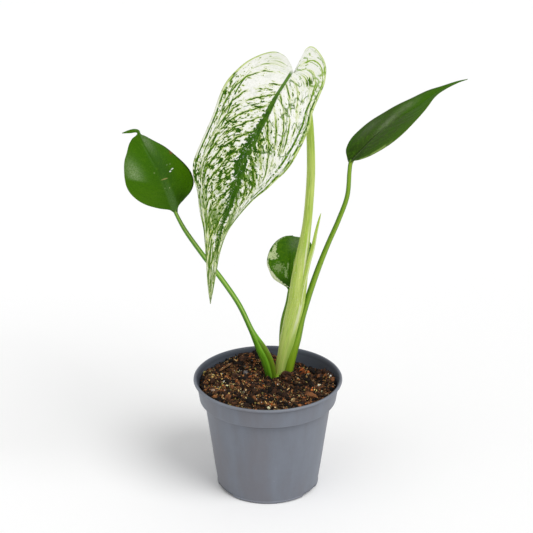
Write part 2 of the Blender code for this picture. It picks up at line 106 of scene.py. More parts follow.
def add_piece(name, points, quads, triangles=(), maps=None, fields=None, tints=None, weld=0.0):
    """A smooth mesh from numpy arrays, in metres, riding on the root body.

    maps are UV maps and fields numbers given per vertex; tints is a colour per vertex.  Vertices
    closer than weld are merged, which closes poles and seams, and the faces then turn outwards.
    """
    points = np.asarray(points, float).reshape(-1, 3)
    quads = np.asarray(quads, int).reshape(-1, 4)
    triangles = np.asarray(triangles, int).reshape(-1, 3)
    corners = np.concatenate([quads.ravel(), triangles.ravel()])
    starts = np.concatenate([np.arange(len(quads)) * 4, 4 * len(quads) + np.arange(len(triangles)) * 3])
    mesh = bpy.data.meshes.new(name)
    mesh.vertices.add(len(points))
    mesh.vertices.foreach_set("co", points.ravel())
    mesh.loops.add(len(corners))
    mesh.loops.foreach_set("vertex_index", corners)
    mesh.polygons.add(len(starts))
    mesh.polygons.foreach_set("loop_start", starts)
    mesh.update(calc_edges=True)
    for label, pairs in (maps or {}).items():
        layer = mesh.uv_layers.new(name=label)
        layer.uv.foreach_set("vector", np.reshape(pairs, (-1, 2))[corners].ravel())
    for label, values in (fields or {}).items():
        kind, slot = ("FLOAT_VECTOR", "vector") if np.size(values) > len(points) else ("FLOAT", "value")
        mesh.attributes.new(label, kind, "POINT").data.foreach_set(slot, np.ravel(values))
    if tints is not None:
        field = mesh.attributes.new("tint", "FLOAT_COLOR", "POINT")
        field.data.foreach_set("color", np.c_[tints, np.ones(len(points))].ravel())
    if weld:
        bm = bmesh.new()
        bm.from_mesh(mesh)
        bmesh.ops.remove_doubles(bm, verts=bm.verts, dist=weld)
        bmesh.ops.dissolve_degenerate(bm, edges=bm.edges, dist=weld)
        bmesh.ops.recalc_face_normals(bm, faces=bm.faces)
        bm.to_mesh(mesh)
        bm.free()
    mesh.validate()
    mesh.shade_smooth()
    made = bpy.data.objects.new(name, mesh)
    scene.collection.objects.link(made)
    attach(made, "root")
    return made


class Wire:
    """A value in a material: sums written with + - * / ** add their Math nodes."""

    def __init__(self, paint, socket):
        self.paint, self.socket = paint, socket

    def _sum(self, operation, first, second):
        return self.paint.node("ShaderNodeMath", {"operation": operation}, {0: first, 1: second})

    def __add__(self, other): return self._sum("ADD", self, other)
    def __radd__(self, other): return self._sum("ADD", other, self)
    def __sub__(self, other): return self._sum("SUBTRACT", self, other)
    def __rsub__(self, other): return self._sum("SUBTRACT", other, self)
    def __mul__(self, other): return self._sum("MULTIPLY", self, other)
    def __rmul__(self, other): return self._sum("MULTIPLY", other, self)
    def __truediv__(self, other): return self._sum("DIVIDE", self, other)
    def __pow__(self, other): return self._sum("POWER", self, other)

    def ramp(self, low, high):
        """0 below low, 1 above high, smooth between."""
        return self.paint.node("ShaderNodeMapRange", {"interpolation_type": "SMOOTHSTEP"},
                               {"Value": self, "From Min": low, "From Max": high})

    def most(self, *others):
        """The highest of this value and the others."""
        top = self
        for other in others:
            top = self._sum("MAXIMUM", top, other)
        return top

    def least(self, other): return self._sum("MINIMUM", self, other)
    def wrapped(self): return self._sum("FRACT", self, 0)

    def line(self, spacing, width, at=0.5):
        """1 along evenly spaced lines of that half width, in the value's own unit."""
        near = self._sum("ABSOLUTE", (self / spacing + (0.5 - at)).wrapped() - 0.5, 0) * spacing
        return 1 - (near / width).ramp(0.5, 1.1)


class Paint:
    """A Principled material: base starts its colour, lay adds to it and finish wires it up."""

    def __init__(self, name, **fixed):
        self.material = bpy.data.materials.new(name)
        self.material.use_nodes = True
        self.tree = self.material.node_tree
        self.shader, self.colour = self.tree.nodes["Principled BSDF"], None
        for label, value in fixed.items():
            self.shader.inputs[label.replace("_", " ")].default_value = value

    def node(self, kind, settings=None, sockets=None, out=0):
        """Any node: its settings first, then values or wires into its sockets."""
        made = self.tree.nodes.new(kind)
        for label, value in (settings or {}).items():
            setattr(made, label, value)
        for label, value in (sockets or {}).items():
            if isinstance(value, Wire):
                self.tree.links.new(value.socket, made.inputs[label])
            else:
                made.inputs[label].default_value = value
        return Wire(self, made.outputs[out])

    def place(self):
        return self.node("ShaderNodeTexCoord", out="Object")

    def map(self, label):
        return self.node("ShaderNodeUVMap", {"uv_map": label})

    def field(self, label, out="Fac"):
        return self.node("ShaderNodeAttribute", {"attribute_name": label}, out=out)

    def spot(self, x, y, z=0.0):
        return self.node("ShaderNodeCombineXYZ", {}, {"X": x, "Y": y, "Z": z})

    def part(self, vector, axis):
        return self.node("ShaderNodeSeparateXYZ", {}, {0: vector}, out=axis)

    def stretch(self, vector, scale):
        return self.node("ShaderNodeMapping", {}, {"Vector": vector, "Scale": scale})

    def noise(self, vector, scale, detail=3.0, rough=0.55):
        return self.node("ShaderNodeTexNoise", {}, {
            "Vector": vector, "Scale": scale, "Detail": detail, "Roughness": rough})

    def cells(self, vector, scale, feature="F1"):
        return self.node("ShaderNodeTexVoronoi", {"feature": feature}, {"Vector": vector, "Scale": scale},
                         out="Distance")

    def oval(self, x, y, cx, cy, sx, sy):
        """1 at a middle, fading as exp(-r^2) over those two half sizes."""
        far = ((x - cx) / sx) ** 2 + ((y - cy) / sy) ** 2
        return self.node("ShaderNodeMath", {"operation": "EXPONENT"}, {0: far * -1})

    def mix(self, share, first, second, blend="MIX"):
        """Two colours blended by a share from 0 to 1."""
        first, second = [(*tone, 1) if isinstance(tone, tuple) else tone for tone in (first, second)]
        return self.node("ShaderNodeMix", {"data_type": "RGBA", "blend_type": blend},
                         {0: share, 6: first, 7: second}, out=2)

    def base(self, share, first, second):
        """Starts the colour with two tones, blended by a share."""
        self.colour = self.mix(share, first, second)

    def lay(self, share, tone):
        """Blends a tone over the colour so far, by a share from 0 to 1."""
        self.colour = self.mix(share, self.colour, tone)

    def finish(self, height, depth, roughness=None, coat=None):
        """Wires up the colour, a bump of that depth in metres, the roughness and the coat."""
        bump = self.node("ShaderNodeBump", {}, {"Height": height, "Distance": depth})
        wires = {"Base Color": self.colour, "Normal": bump, "Roughness": roughness, "Coat Weight": coat}
        for label, wire in wires.items():
            if wire is not None:
                self.tree.links.new(wire.socket, self.shader.inputs[label])
        return self.material


# Half section in mm, radius and height, from the middle of the underside, up the outside, over
# the lip and down the inside to the middle of the floor.
POT_SECTION = [
    (0, 0.0), (12.3, 0.0), (12.5, 0.2), (12.9, 2.1), (13.1, 2.2), (38.0, 2.2), (38.2, 2.0), (38.5, 0.15),
    (38.7, 0.0), (40.3, 0.0), (40.9, 0.12), (41.3, 0.5), (41.5, 1.1), (41.55, 1.9), (41.45, 2.3),
    (41.25, 2.5), (41.3, 2.9), (43.5, 17.5), (46.0, 36.5), (48.6, 55.5), (50.9, 72.4), (51.3, 75.3),
    (51.45, 75.85), (51.8, 76.05), (54.7, 76.1), (55.1, 76.25), (55.3, 76.7), (55.5, 78.0),
    (56.2, 82.5), (56.9, 87.2), (57.3, 90.0), (57.45, 90.7),
    (57.8, 91.2), (58.4, 91.45), (59.2, 91.65), (59.75, 92.0), (60.0, 92.6), (59.95, 93.2), (59.6, 93.7),
    (59.0, 93.95), (58.3, 93.95), (57.75, 93.65), (57.35, 93.0), (57.0, 91.9), (56.3, 89.5), (55.2, 84.5),
    (53.7, 78.6), (53.4, 78.1), (52.9, 77.9), (50.8, 77.5), (50.3, 77.1), (50.15, 76.5), (49.9, 74.0),
    (47.4, 56.0), (44.9, 37.5), (42.4, 19.0), (40.6, 5.2), (40.3, 4.2), (39.7, 3.6), (38.8, 3.4),
    (14.4, 3.4), (14.0, 3.2), (13.8, 1.5), (13.5, 1.2), (0, 1.2)]
POT_HEIGHT, SECTION_STEP = 94, 2.2
FIRST_FOOT, FOOT_APART, FOOT_HALF = -93.5, 120, 14
RING_INSIDE, RING_TOP = 38.3, 2.6
RING_LIFT, NOTCH_LIFT = 0.85, 2.5
NOTCHES = [(-45.5, 26), (74.5, 26), (194.5, 33)]


def pot_points(steps):
    """The section turned about Z, a little out of round; the ring rises between the three feet.

    Each notch starts at an angle and runs on for so many degrees.
    """
    profile = np.array(POT_SECTION)
    pieces = [np.linspace(a, b, max(2, int(np.linalg.norm(b - a) / SECTION_STEP) + 1))[:-1]
              for a, b in zip(profile, profile[1:])]
    profile = np.vstack(pieces + [profile[-1:]])
    turn = np.linspace(0, 2 * math.pi, steps, endpoint=False)
    from_foot = (np.degrees(turn) - FIRST_FOOT + FOOT_APART / 2) % FOOT_APART - FOOT_APART / 2
    ring = np.where(np.abs(from_foot) > FOOT_HALF, RING_LIFT, 0.0)
    notch = sum(np.where((np.degrees(turn) - first) % 360 < wide, 1.0, 0.0) for first, wide in NOTCHES)
    lift = np.maximum(ring, NOTCH_LIFT * notch)
    r, z = profile[:, :1], profile[:, 1:]
    z = np.where((r > RING_INSIDE) & (z < RING_TOP), np.maximum(z, lift + 0.12 * z), z + 0 * lift)
    wander = 0.06 * np.sin(3 * turn + 1.0) * (z / POT_HEIGHT)
    r = r + wander * (r > 30)
    return np.stack([r * np.cos(turn), r * np.sin(turn), z], axis=-1) * MM


pot_grid = pot_points(240)
rows, columns = pot_grid.shape[:2]
pot = add_piece("nursery_pot", pot_grid, grid_faces(rows, columns, wrap=True), weld=2e-6)

# Six drain holes; the drill is turned a little so that no edge of it falls on the grid.
HOLES, HOLE_RADIUS, HOLE_RING = 6, 4, 27
for i in range(HOLES):
    angle = math.radians(360 / HOLES * (i + 0.5))
    bpy.ops.mesh.primitive_cylinder_add(
        vertices=40, radius=HOLE_RADIUS * MM, depth=12 * MM, rotation=(0, 0, 0.03),
        location=(HOLE_RING * MM * math.cos(angle), HOLE_RING * MM * math.sin(angle), 2 * MM))
    drill = bpy.context.object
    hole = pot.modifiers.new("Drain hole", "BOOLEAN")
    hole.operation, hole.object = "DIFFERENCE", drill
    bpy.context.view_layer.update()
    cut = bpy.data.meshes.new_from_object(pot.evaluated_get(bpy.context.evaluated_depsgraph_get()))
    pot.modifiers.clear()
    pot.data = cut
    bpy.data.objects.remove(drill)
pot.data.set_sharp_from_angle(angle=math.radians(38))
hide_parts("pot")

# The field inner marks the inside of the wall, which is painted darker: painted shade, as the inside lies in
# the pot's own shadow, with a little soil staining.
spots = np.empty(3 * len(pot.data.vertices))
pot.data.vertices.foreach_get("co", spots)
spots = spots.reshape(-1, 3) / MM
skin_radius = np.interp(spots[:, 2], [0, 2, 75.9, 76.2, 90, 93.2, 94], [41, 41, 51.4, 55.3, 57.3, 59.0, 59.5])
inner = pot.data.attributes.new("inner", "FLOAT", "POINT")
inner.data.foreach_set("value", (np.hypot(spots[:, 0], spots[:, 1]) < skin_radius - 0.7).astype(float))

plastic = Paint("Slate polypropylene", Roughness=0.5, Specular_IOR_Level=0.4)
where = plastic.place()
flow = plastic.noise(plastic.stretch(where, (90, 90, 5)), 1.0, 4, 0.6)
mottle = plastic.noise(plastic.stretch(where, (30, 30, 12)), 1.0, 3, 0.5)
bloom = plastic.noise(where, 140, 3, 0.6)
height_z = plastic.part(where, "Z")
shade = (flow - 0.5) * 0.45 + (mottle - 0.5) * 0.45 + (bloom - 0.5) * 0.15
plastic.base((shade + 0.5).ramp(0.2, 0.8), (0.136, 0.147, 0.175), (0.182, 0.202, 0.243))
plastic.lay((mottle + (flow - 0.5) * 0.4).ramp(0.60, 0.36) * 0.45, (0.165, 0.155, 0.170))
scuff = plastic.noise(plastic.stretch(where, (120, 120, 420)), 1.0, 2, 0.7).ramp(0.70, 0.78)
plastic.lay(scuff * 0.16, (0.36, 0.37, 0.40))


def band(low, high, soft):
    """1 between two heights in mm, fading over soft mm at each."""
    return height_z.ramp((low - soft) * MM, low * MM) * height_z.ramp((high + soft) * MM, high * MM)


# Painted shade in the crease under the collar and in the groove under the lip, and painted highlights along
# the edges of the collar, the lip and the foot.
plastic.lay(band(74.0, 75.9, 0.5) * 0.70, (0.055, 0.057, 0.070))
# Painted highlight along the collar's lower edge.
plastic.lay(band(76.2, 76.7, 0.3) * 0.12, (0.30, 0.32, 0.37))
# Painted shade in the groove under the lip.
plastic.lay(band(90.2, 91.3, 0.5) * 0.45, (0.075, 0.080, 0.095))
# Painted highlights on the lip and on the foot bead.
plastic.lay(band(93.2, 94.5, 0.3) * 0.12, (0.34, 0.37, 0.42))
plastic.lay(band(1.7, 2.2, 0.3) * 0.35, (0.28, 0.30, 0.34))
# Painted shade inside the wall, with a little soil staining.
plastic.lay(plastic.field("inner") * 0.66, (0.036, 0.046, 0.068))
pot.data.materials.append(plastic.finish(
    bloom * 0.5 + flow * 0.7, 0.00008, roughness=0.46 + (mottle - 0.5) * 0.16 + scuff * 0.1))

# --- Potting mix ----------------------------------------------------------
# A bed of peat and composted bark, banked behind the stems and a little low at
# the back right.  Its bed is one closed body; loose crumbs, bark splinters,
# coir fibres and perlite grains lie on it.


def hashed(cells, seed):
    """A repeatable number from 0 to 1 for each whole-numbered cell."""
    mixed = np.sin(cells @ np.array([12.9898, 78.233, 37.719]) + seed * 4.137) * 43758.5453
    return mixed - np.floor(mixed)


def grain(points, cell, seed=0.0):
    """Smooth value noise from -1 to 1: hashed cell corners blended by 3t^2 - 2t^3."""
    p = np.asarray(points, float) / cell
    base = np.floor(p)
    f = p - base
    f = f * f * (3 - 2 * f)
    total = 0.0
    for corner in np.ndindex(2, 2, 2):
        c = np.array(corner)
        weight = np.prod(np.where(c == 1, f, 1 - f), axis=-1)
        total = total + weight * hashed(base + c, seed)
    return 2 * total - 1


def mix_height(x, y):
    """Height in mm of the bed: a flat top with a bank, two mounds at the wall, a heap and a hollow."""
    bank = 5.0 * np.exp(-((x + 14) / 26) ** 2 - ((y - 44) / 17) ** 2)
    mound = (6.6 * np.exp(-((x + 50) / 9) ** 2 - ((y - 10) / 15) ** 2)
             + 3.6 * np.exp(-((x - 52) / 6.5) ** 2 - ((y - 8) / 14) ** 2))
    heap = 5.6 * np.exp(-((x - 20) / 9) ** 2 - ((y - 9) / 8) ** 2)
    hollow = 4.2 * np.exp(-((x - 31) / 17) ** 2 - ((y - 35) / 17) ** 2)
    reach = np.hypot(x, y)
    return 86.5 + bank + mound + heap - hollow - 2.4 * np.clip((reach - 49.5) / 5, 0, 1) ** 1.5


def bed_relief(x, y):
    """Clods, crumbs and pits on the bed, in mm, from four sizes of value noise."""
    flat = np.stack([x, y, 0 * x], axis=-1)
    return (1.3 * grain(flat, 10, 1) + 1.2 * grain(flat, 4.5, 2) + 0.9 * grain(flat, 2.1, 3)
            + 0.5 * grain(flat, 0.95, 4))


BED_REACH, BED_CEILING = 54.6, 95
turn = np.linspace(0, 2 * math.pi, 260, endpoint=False)
reach = np.linspace(0.6, BED_REACH, 100)
bed_x, bed_y = reach[:, None] * np.cos(turn), reach[:, None] * np.sin(turn)
bed_z = mix_height(bed_x, bed_y) + bed_relief(bed_x, bed_y)
top = np.stack([bed_x, bed_y, np.minimum(bed_z, BED_CEILING)], axis=-1)
side_profile = [(54.0, 80), (49.8, 76.6), (49.4, 74), (39.8, 5.0), (39.0, 3.8), (20, 3.8), (0, 3.8)]
side = [np.stack([r * np.cos(turn), r * np.sin(turn), 0 * turn + z], axis=-1) for r, z in side_profile]
centre = np.stack([0 * turn, 0 * turn, 0 * turn + mix_height(0, 0)], axis=-1)
bed_points = np.concatenate([centre[None], top, np.array(side)])
bed = add_piece("mix_bed", bed_points * MM, grid_faces(len(bed_points), len(turn), wrap=True), weld=1e-5)
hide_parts("potting_mix")
peat = Paint("Damp peat", Roughness=0.95, Specular_IOR_Level=0.1)
where = peat.place()
clod = peat.noise(where, 420, 5, 0.65)
fine = peat.cells(where, 900)
peat.base(clod.ramp(0.36, 0.66), (0.006, 0.0035, 0.0025), (0.042, 0.022, 0.010))
fleck = peat.noise(where, 800, 2, 0.6).ramp(0.66, 0.72)
peat.lay(fleck * 0.5, (0.16, 0.085, 0.030))
bed.data.materials.append(peat.finish(clod + fine * 0.5, 0.0006))

# What is strewn starts as a ball of 20 triangles (two rings of five points and two poles) or as a
# plate of two rings of six points.
chance = np.random.default_rng(7)
WHOLE_TURN, FIFTH, RING_OUT, RING_UP = 6.283, 1.2566, 0.894, 0.447
RINGS = [(RING_OUT * math.cos(FIFTH * (i + shift)), RING_OUT * math.sin(FIFTH * (i + shift)), up)
         for shift, up in ((0, RING_UP), (0.5, -RING_UP)) for i in range(5)]
BALL = np.array([(0, 0, 1), *RINGS, (0, 0, -1)])
BALL_FACES = np.array([face for i, j in ((0, 1), (1, 2), (2, 3), (3, 4), (4, 0)) for face in (
    (0, 1 + i, 1 + j), (1 + i, 6 + i, 1 + j), (1 + j, 6 + i, 6 + j), (11, 6 + j, 6 + i))])


def any_way(count):
    """Angles in radians, any way round."""
    return chance.uniform(0, WHOLE_TURN, count)


def turns(count, tilt):
    """Random rotations: any way round Z, then tilted by about tilt radians round a level axis."""
    spin, lean, way = any_way(count), chance.normal(0, tilt, count), any_way(count)
    c, s = np.cos(spin), np.sin(spin)
    flat = np.zeros((count, 3, 3))
    flat[:, 0, 0], flat[:, 0, 1], flat[:, 1, 0], flat[:, 1, 1], flat[:, 2, 2] = c, -s, s, c, 1
    axis = np.stack([np.cos(way), np.sin(way), 0 * way], axis=-1)
    k = np.zeros((count, 3, 3))
    k[:, 0, 2], k[:, 1, 2], k[:, 2, 0], k[:, 2, 1] = axis[:, 1], -axis[:, 0], -axis[:, 1], axis[:, 0]
    lean = lean[:, None, None]
    return (np.eye(3) + np.sin(lean) * k + (1 - np.cos(lean)) * (k @ k)) @ flat


def scatter_spots(count, spread=54.2):
    """Places over the round bed, evenly by area, with the bed's height there."""
    reach = spread * np.sqrt(chance.uniform(0, 1, count))
    way = any_way(count)
    x, y = reach * np.cos(way), reach * np.sin(way)
    return np.stack([x, y, mix_height(x, y) + bed_relief(x, y)], axis=-1)


def paleness(x, y):
    """Where the dry, pale side of the mix lies, 0 to 1: the left front, and a little at the front."""
    return np.clip(np.exp(-((x + 36) / 19) ** 2 - ((y + 3) / 24) ** 2)
                   + 0.6 * np.exp(-((x + 8) / 24) ** 2 - ((y + 40) / 14) ** 2), 0, 1)


def damp(x, y):
    """How bright the mix is in patches, wet to dry: 0.5 to 2 from two sizes of value noise."""
    place = np.stack([x, y, 0 * x], axis=-1)
    return np.clip(1.45 + 0.85 * grain(place, 13, 61) + 0.75 * grain(place, 5, 62), 0.5, 2.4)


WALL_REACH = 55.0


def strewn(name, shape, faces, spots, sizes, tilt, jitter, palette, lift):
    """Many copies of one small shape: each scaled, roughened, turned, coloured and laid on its spot.

    A palette row is a colour, its weight on the dark and on the pale side of the mix, and the size of
    the lumps that have it, as a factor.
    """
    count = len(spots)
    palette = np.array(palette, float)
    side = paleness(spots[:, 0], spots[:, 1])[:, None]
    odds = np.cumsum(palette[:, 3] * (1 - side) + palette[:, 4] * side, axis=1)
    pick = (chance.uniform(0, 1, (count, 1)) * odds[:, -1:] > odds).sum(axis=1)
    sizes = sizes * palette[pick, 5:]
    copies = shape[None] * sizes[:, None, :] * (1 + chance.uniform(-jitter, jitter, (count, len(shape), 1)))
    copies = np.einsum("nij,nkj->nki", turns(count, tilt), copies)
    copies += (spots + [0, 0, 1] * (lift * sizes[:, 2:3]))[:, None, :]
    edge = np.hypot(copies[..., 0], copies[..., 1]).max(axis=1)
    copies[..., :2] *= np.minimum(1, WALL_REACH / edge)[:, None, None]
    index = (faces[None] + (np.arange(count) * len(shape))[:, None, None]).reshape(-1, faces.shape[1])
    tint = palette[pick, :3] * chance.uniform(0.55, 1.40, (count, 1))
    tint = np.clip(tint * damp(spots[:, 0], spots[:, 1])[:, None], 0, 0.9)
    piece = add_piece(name, copies * MM, (), index, tints=np.repeat(tint, len(shape), axis=0))
    return piece


count = 6400
lump_size = np.exp(chance.normal(-0.38, 0.45, (count, 1))) * chance.uniform(0.6, 1.35, (count, 3))
crumbs = strewn("peat_crumbs", BALL, BALL_FACES, scatter_spots(count), lump_size, 0.9, 0.32, [
    (0.006, 0.003, 0.002, 30, 16, 1.3), (0.030, 0.013, 0.006, 22, 16, 1.25),
    (0.100, 0.040, 0.015, 22, 18, 1.0), (0.18, 0.072, 0.025, 13, 14, 0.85), (0.28, 0.080, 0.018, 5, 3, 0.9),
    (0.46, 0.28, 0.095, 8, 19, 0.65), (0.26, 0.23, 0.065, 5, 11, 0.7), (0.80, 0.62, 0.34, 4, 10, 0.55)],
    0.25)
PLATE = np.array([
    (-1, -0.5, -0.5), (-0.2, -0.9, -0.6), (0.9, -0.5, -0.3), (1.1, 0.3, -0.4), (0.1, 0.8, -0.6),
    (-0.9, 0.6, -0.3), (-0.9, -0.4, 0.5), (-0.1, -0.8, 0.5), (0.8, -0.5, 0.7), (1.0, 0.2, 0.5),
    (0.1, 0.9, 0.4), (-0.8, 0.5, 0.6)])
PLATE_FACES = np.array([*[(i, (i + 1) % 6, 6 + (i + 1) % 6) for i in range(6)],
                        *[(i, 6 + (i + 1) % 6, 6 + i) for i in range(6)],
                        *[(0, i + 1, i) for i in range(1, 5)], *[(6, 6 + i, 7 + i) for i in range(1, 5)]])
count = 2400
chip_size = np.stack([np.exp(chance.normal(0.25, 0.45, count)), np.exp(chance.normal(-0.70, 0.35, count)),
                      np.exp(chance.normal(-1.15, 0.3, count))], axis=-1)
splinters = strewn("bark_splinters", PLATE, PLATE_FACES, scatter_spots(count, 53.8), chip_size, 0.6, 0.18, [
    (0.020, 0.010, 0.006, 34, 20, 1.3), (0.10, 0.042, 0.018, 24, 22, 1.1), (0.29, 0.095, 0.026, 10, 7, 0.85),
    (0.36, 0.20, 0.070, 14, 18, 0.85), (0.62, 0.42, 0.18, 9, 16, 0.8), (0.30, 0.26, 0.070, 5, 10, 0.75),
    (0.88, 0.72, 0.46, 3.5, 8, 0.6)], 1.0)
count = 120
flake_size = np.stack([chance.uniform(1.4, 3.2, count), chance.uniform(0.8, 1.6, count),
                       chance.uniform(0.35, 0.7, count)], axis=-1)
flakes = strewn("bark_flakes", PLATE, PLATE_FACES, scatter_spots(count, 52), flake_size, 0.7, 0.22, [
    (0.025, 0.012, 0.008, 34, 20, 1.3), (0.075, 0.033, 0.016, 30, 25, 1.0), (0.20, 0.065, 0.022, 16, 10, 1.0),
    (0.26, 0.14, 0.055, 8, 16, 0.8), (0.16, 0.12, 0.040, 4, 10, 0.8)], 0.9)
count = 78
grain_size = np.exp(chance.normal(-0.62, 0.36, (count, 1))) * chance.uniform(0.75, 1.2, (count, 3))
grains = strewn("perlite_grains", BALL, BALL_FACES, scatter_spots(count, 53.5), grain_size, 0.9, 0.14, [
    (0.80, 0.70, 0.44, 5, 5, 1), (0.50, 0.44, 0.17, 3, 4, 1), (0.88, 0.85, 0.76, 3, 2, 1),
    (0.34, 0.31, 0.31, 2, 1, 1)], 0.7)

# Coir fibres and rootlets: three-sided threads along short bent lines that arch over the bed.
count, knots, sides = 900, 7, 3
start = scatter_spots(count, 51)
heading, bend = any_way(count), chance.normal(0, 0.9, count)
length = np.exp(chance.normal(1.35, 0.45, count))[:, None]
part = np.linspace(-0.5, 0.5, knots)
angle = heading[:, None] + bend[:, None] * part
arch = 0.35 + 0.9 * chance.uniform(-0.4, 1, (count, 1)) * np.cos(part * 3.1)
thread = start[:, None, :] + np.stack(
    [np.cos(angle) * part * length, np.sin(angle) * part * length, arch], axis=-1)
outward = np.stack([-np.sin(angle), np.cos(angle), 0 * angle], axis=-1)
thick = chance.uniform(0.07, 0.20, (count, 1, 1, 1)) * (1.05 - 0.8 * np.abs(part))[None, :, None, None]
around = np.array([0, 2.0944, 4.1888])[:, None]
ring = (np.cos(around) * outward[:, :, None, :] + np.sin(around) * np.array([0, 0, 1.0])) * thick
points_each = knots * sides
threads = (thread[:, :, None, :] + ring).reshape(count, points_each, 3)
walls = grid_faces(knots, sides, wrap=True)
ends = np.array([(2, 1, 0), (points_each - 3, points_each - 2, points_each - 1)])
offset = np.arange(count)[:, None, None] * points_each
FIBRE_TONES = np.array([(0.20, 0.09, 0.03), (0.42, 0.27, 0.10), (0.08, 0.035, 0.015)])
fibre_tone = FIBRE_TONES[chance.integers(0, len(FIBRE_TONES), count)]
fibres = add_piece("coir_fibres", threads * MM, walls + offset, ends + offset,
                   tints=np.repeat(fibre_tone, points_each, axis=0))

strewn_paint = Paint("Strewn mix", Roughness=0.85, Specular_IOR_Level=0.25)
where = strewn_paint.place()
speck = strewn_paint.noise(where, 1500, 3, 0.7)
strewn_paint.colour = strewn_paint.mix(1.0, strewn_paint.field("tint", "Color"), strewn_paint.mix(
    speck.ramp(0.3, 0.7), (0.45, 0.45, 0.45), (1.4, 1.35, 1.3)), "MULTIPLY")
strewn_finish = strewn_paint.finish(speck, 0.0003)
for strewing in (crumbs, splinters, flakes, grains, fibres):
    strewing.data.materials.append(strewn_finish)

# The larger loose pieces: curled bark chips and perlite pebbles, each lying in
# the top of the mix where the frame has its solid.


def step(value, low, high):
    """0 below low, 1 above high, 3t^2 - 2t^3 between."""
    t = np.clip((value - low) / (high - low), 0, 1)
    return t * t * (3 - 2 * t)


def pebble(name, node, centre, size, turn, seed, rough, tones, arch=0.0):
    """A lumpy, slightly boxy ellipsoid over a sphere grid; arch bends it over like a curled chip.

    The radius is 1 plus three sizes of value noise; z drops by arch times x squared.  Its colour
    runs from the first tone to the second with the same noise.
    """
    rows, columns = 40, 64
    polar = np.linspace(0, math.pi, rows)[:, None]
    way = np.linspace(0, 2 * math.pi, columns, endpoint=False)[None]
    ball = np.stack([np.sin(polar) * np.cos(way), np.sin(polar) * np.sin(way), np.cos(polar) + 0 * way],
                    axis=-1)
    boxy = ball / np.linalg.norm(np.abs(ball) ** 3, ord=1, axis=-1, keepdims=True) ** (1 / 3)
    lumps = 0.6 * grain(ball * 10, 4, seed + 1) + 0.3 * grain(ball * 10, 1.7, seed + 2)
    shape = boxy * (1 + rough * (grain(ball * 10, 9, seed) + lumps))[..., None]
    half = np.array(size) / 2
    shape = shape * half
    shape[..., 2] -= arch * (shape[..., 0] ** 2 - 0.3 * half[0] ** 2) / half[0]
    c, s = math.cos(math.radians(turn)), math.sin(math.radians(turn))
    x = shape[..., 0] * c - shape[..., 1] * s + centre[0]
    y = shape[..., 0] * s + shape[..., 1] * c + centre[1]
    points = np.stack([x, y, shape[..., 2] + centre[2]], axis=-1)
    share = step(lumps + 0.5 * grain(ball * 10, 0.9, seed + 3), -0.25, 0.35)[..., None]
    tint = np.array(tones[0]) * (1 - share) + np.array(tones[1]) * share
    made = add_piece(name, points * MM, grid_faces(rows, columns, wrap=True),
                     tints=tint.reshape(-1, 3), weld=1e-6)
    made.data.materials.append(strewn_finish)
    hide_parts(node)
    return made


SOOT, UMBER, RUST = (0.025, 0.012, 0.008), (0.10, 0.042, 0.018), (0.40, 0.10, 0.016)
TAN, CHALK, CREAM, GREY = (0.24, 0.095, 0.035), (0.62, 0.58, 0.48), (0.55, 0.45, 0.22), (0.26, 0.24, 0.25)
BARK = [(27, 19, 9.0, 6.5, 9.0, 20, 0.8, SOOT, RUST), (15.5, 7.5, 9.0, 4.5, 6.0, -20, 0.3, SOOT, UMBER),
        (34, -20, 15, 6.5, 3.0, -15, 0.25, UMBER, TAN), (-41, 25, 5.5, 4.5, 6.0, 10, 0.5, SOOT, UMBER),
        (-31, -24, 7.0, 5.0, 4.0, 50, 0.4, UMBER, TAN), (43, 13, 6.0, 4.5, 4.0, 80, 0.5, SOOT, TAN),
        (-20, 38, 8.0, 6.0, 4.0, 30, 0.3, SOOT, UMBER)]
for i, (x, y, long, wide, high, turn_by, arch, dark, pale) in enumerate(BARK):
    pebble(f"bark_chip_{i + 1}", f"bark_{i + 1}", (x, y, mix_height(x, y) + 0.25 * high),
           (long, wide, high * 0.95), turn_by, 3 * i + 5, 0.24, (dark, pale), arch)
PERLITE = [(41.5, -3, 3.0, 2.8, 2.8, 0, CREAM, (0.80, 0.76, 0.66)),
           (46.6, 23.6, 3.6, 3.4, 3.2, 30, TAN, CHALK),
           (-18, 18.5, 4.6, 4.2, 3.8, 15, (0.06, 0.05, 0.05), GREY),
           (20, -29, 4.6, 2.8, 3.0, 60, TAN, CREAM), (-44, -12.5, 3.2, 2.8, 2.8, 0, TAN, CHALK),
           (-19.5, -37, 4.4, 3.2, 2.6, -20, TAN, CREAM)]
for i, (x, y, long, wide, high, turn_by, dark, pale) in enumerate(PERLITE):
    pebble(f"perlite_bead_{i + 1}", f"perlite_{i + 1}", (x, y, mix_height(x, y) + 0.28 * high),
           (long, wide, high), turn_by, 2 * i + 40, 0.11, (dark, pale))

# --- Stalks ---------------------------------------------------------------
# Every leaf stands on a fleshy petiole that wraps the one inside it at the
# base.  Each is an elliptical section carried up its own line, with sheath
# wings, a shallow channel and a swollen joint under the blade where it has them.


def catmull(stations, count):
    """Stations joined by a Catmull-Rom curve and resampled evenly by length."""
    p = np.asarray(stations, float)
    p = np.vstack([2 * p[0] - p[1], p, 2 * p[-1] - p[-2]])
    t = np.linspace(0, 1, 32, endpoint=False)[None, :, None]
    a, b, c, d = p[:-3, None], p[1:-2, None], p[2:-1, None], p[3:, None]
    line = b + 0.5 * ((c - a) * t + (2 * a - 5 * b + 4 * c - d) * t ** 2 + (3 * b - 3 * c + d - a) * t ** 3)
    line = np.vstack([line.reshape(-1, p.shape[1]), p[-2:-1]])
    length = np.r_[0, np.cumsum(np.linalg.norm(np.diff(line, axis=0), axis=1))]
    at = np.linspace(0, length[-1], count)
    return np.stack([np.interp(at, length, column) for column in line.T], axis=-1)


def unit(vectors):
    """Vectors divided by their own length."""
    return vectors / np.linalg.norm(vectors, axis=-1, keepdims=True)


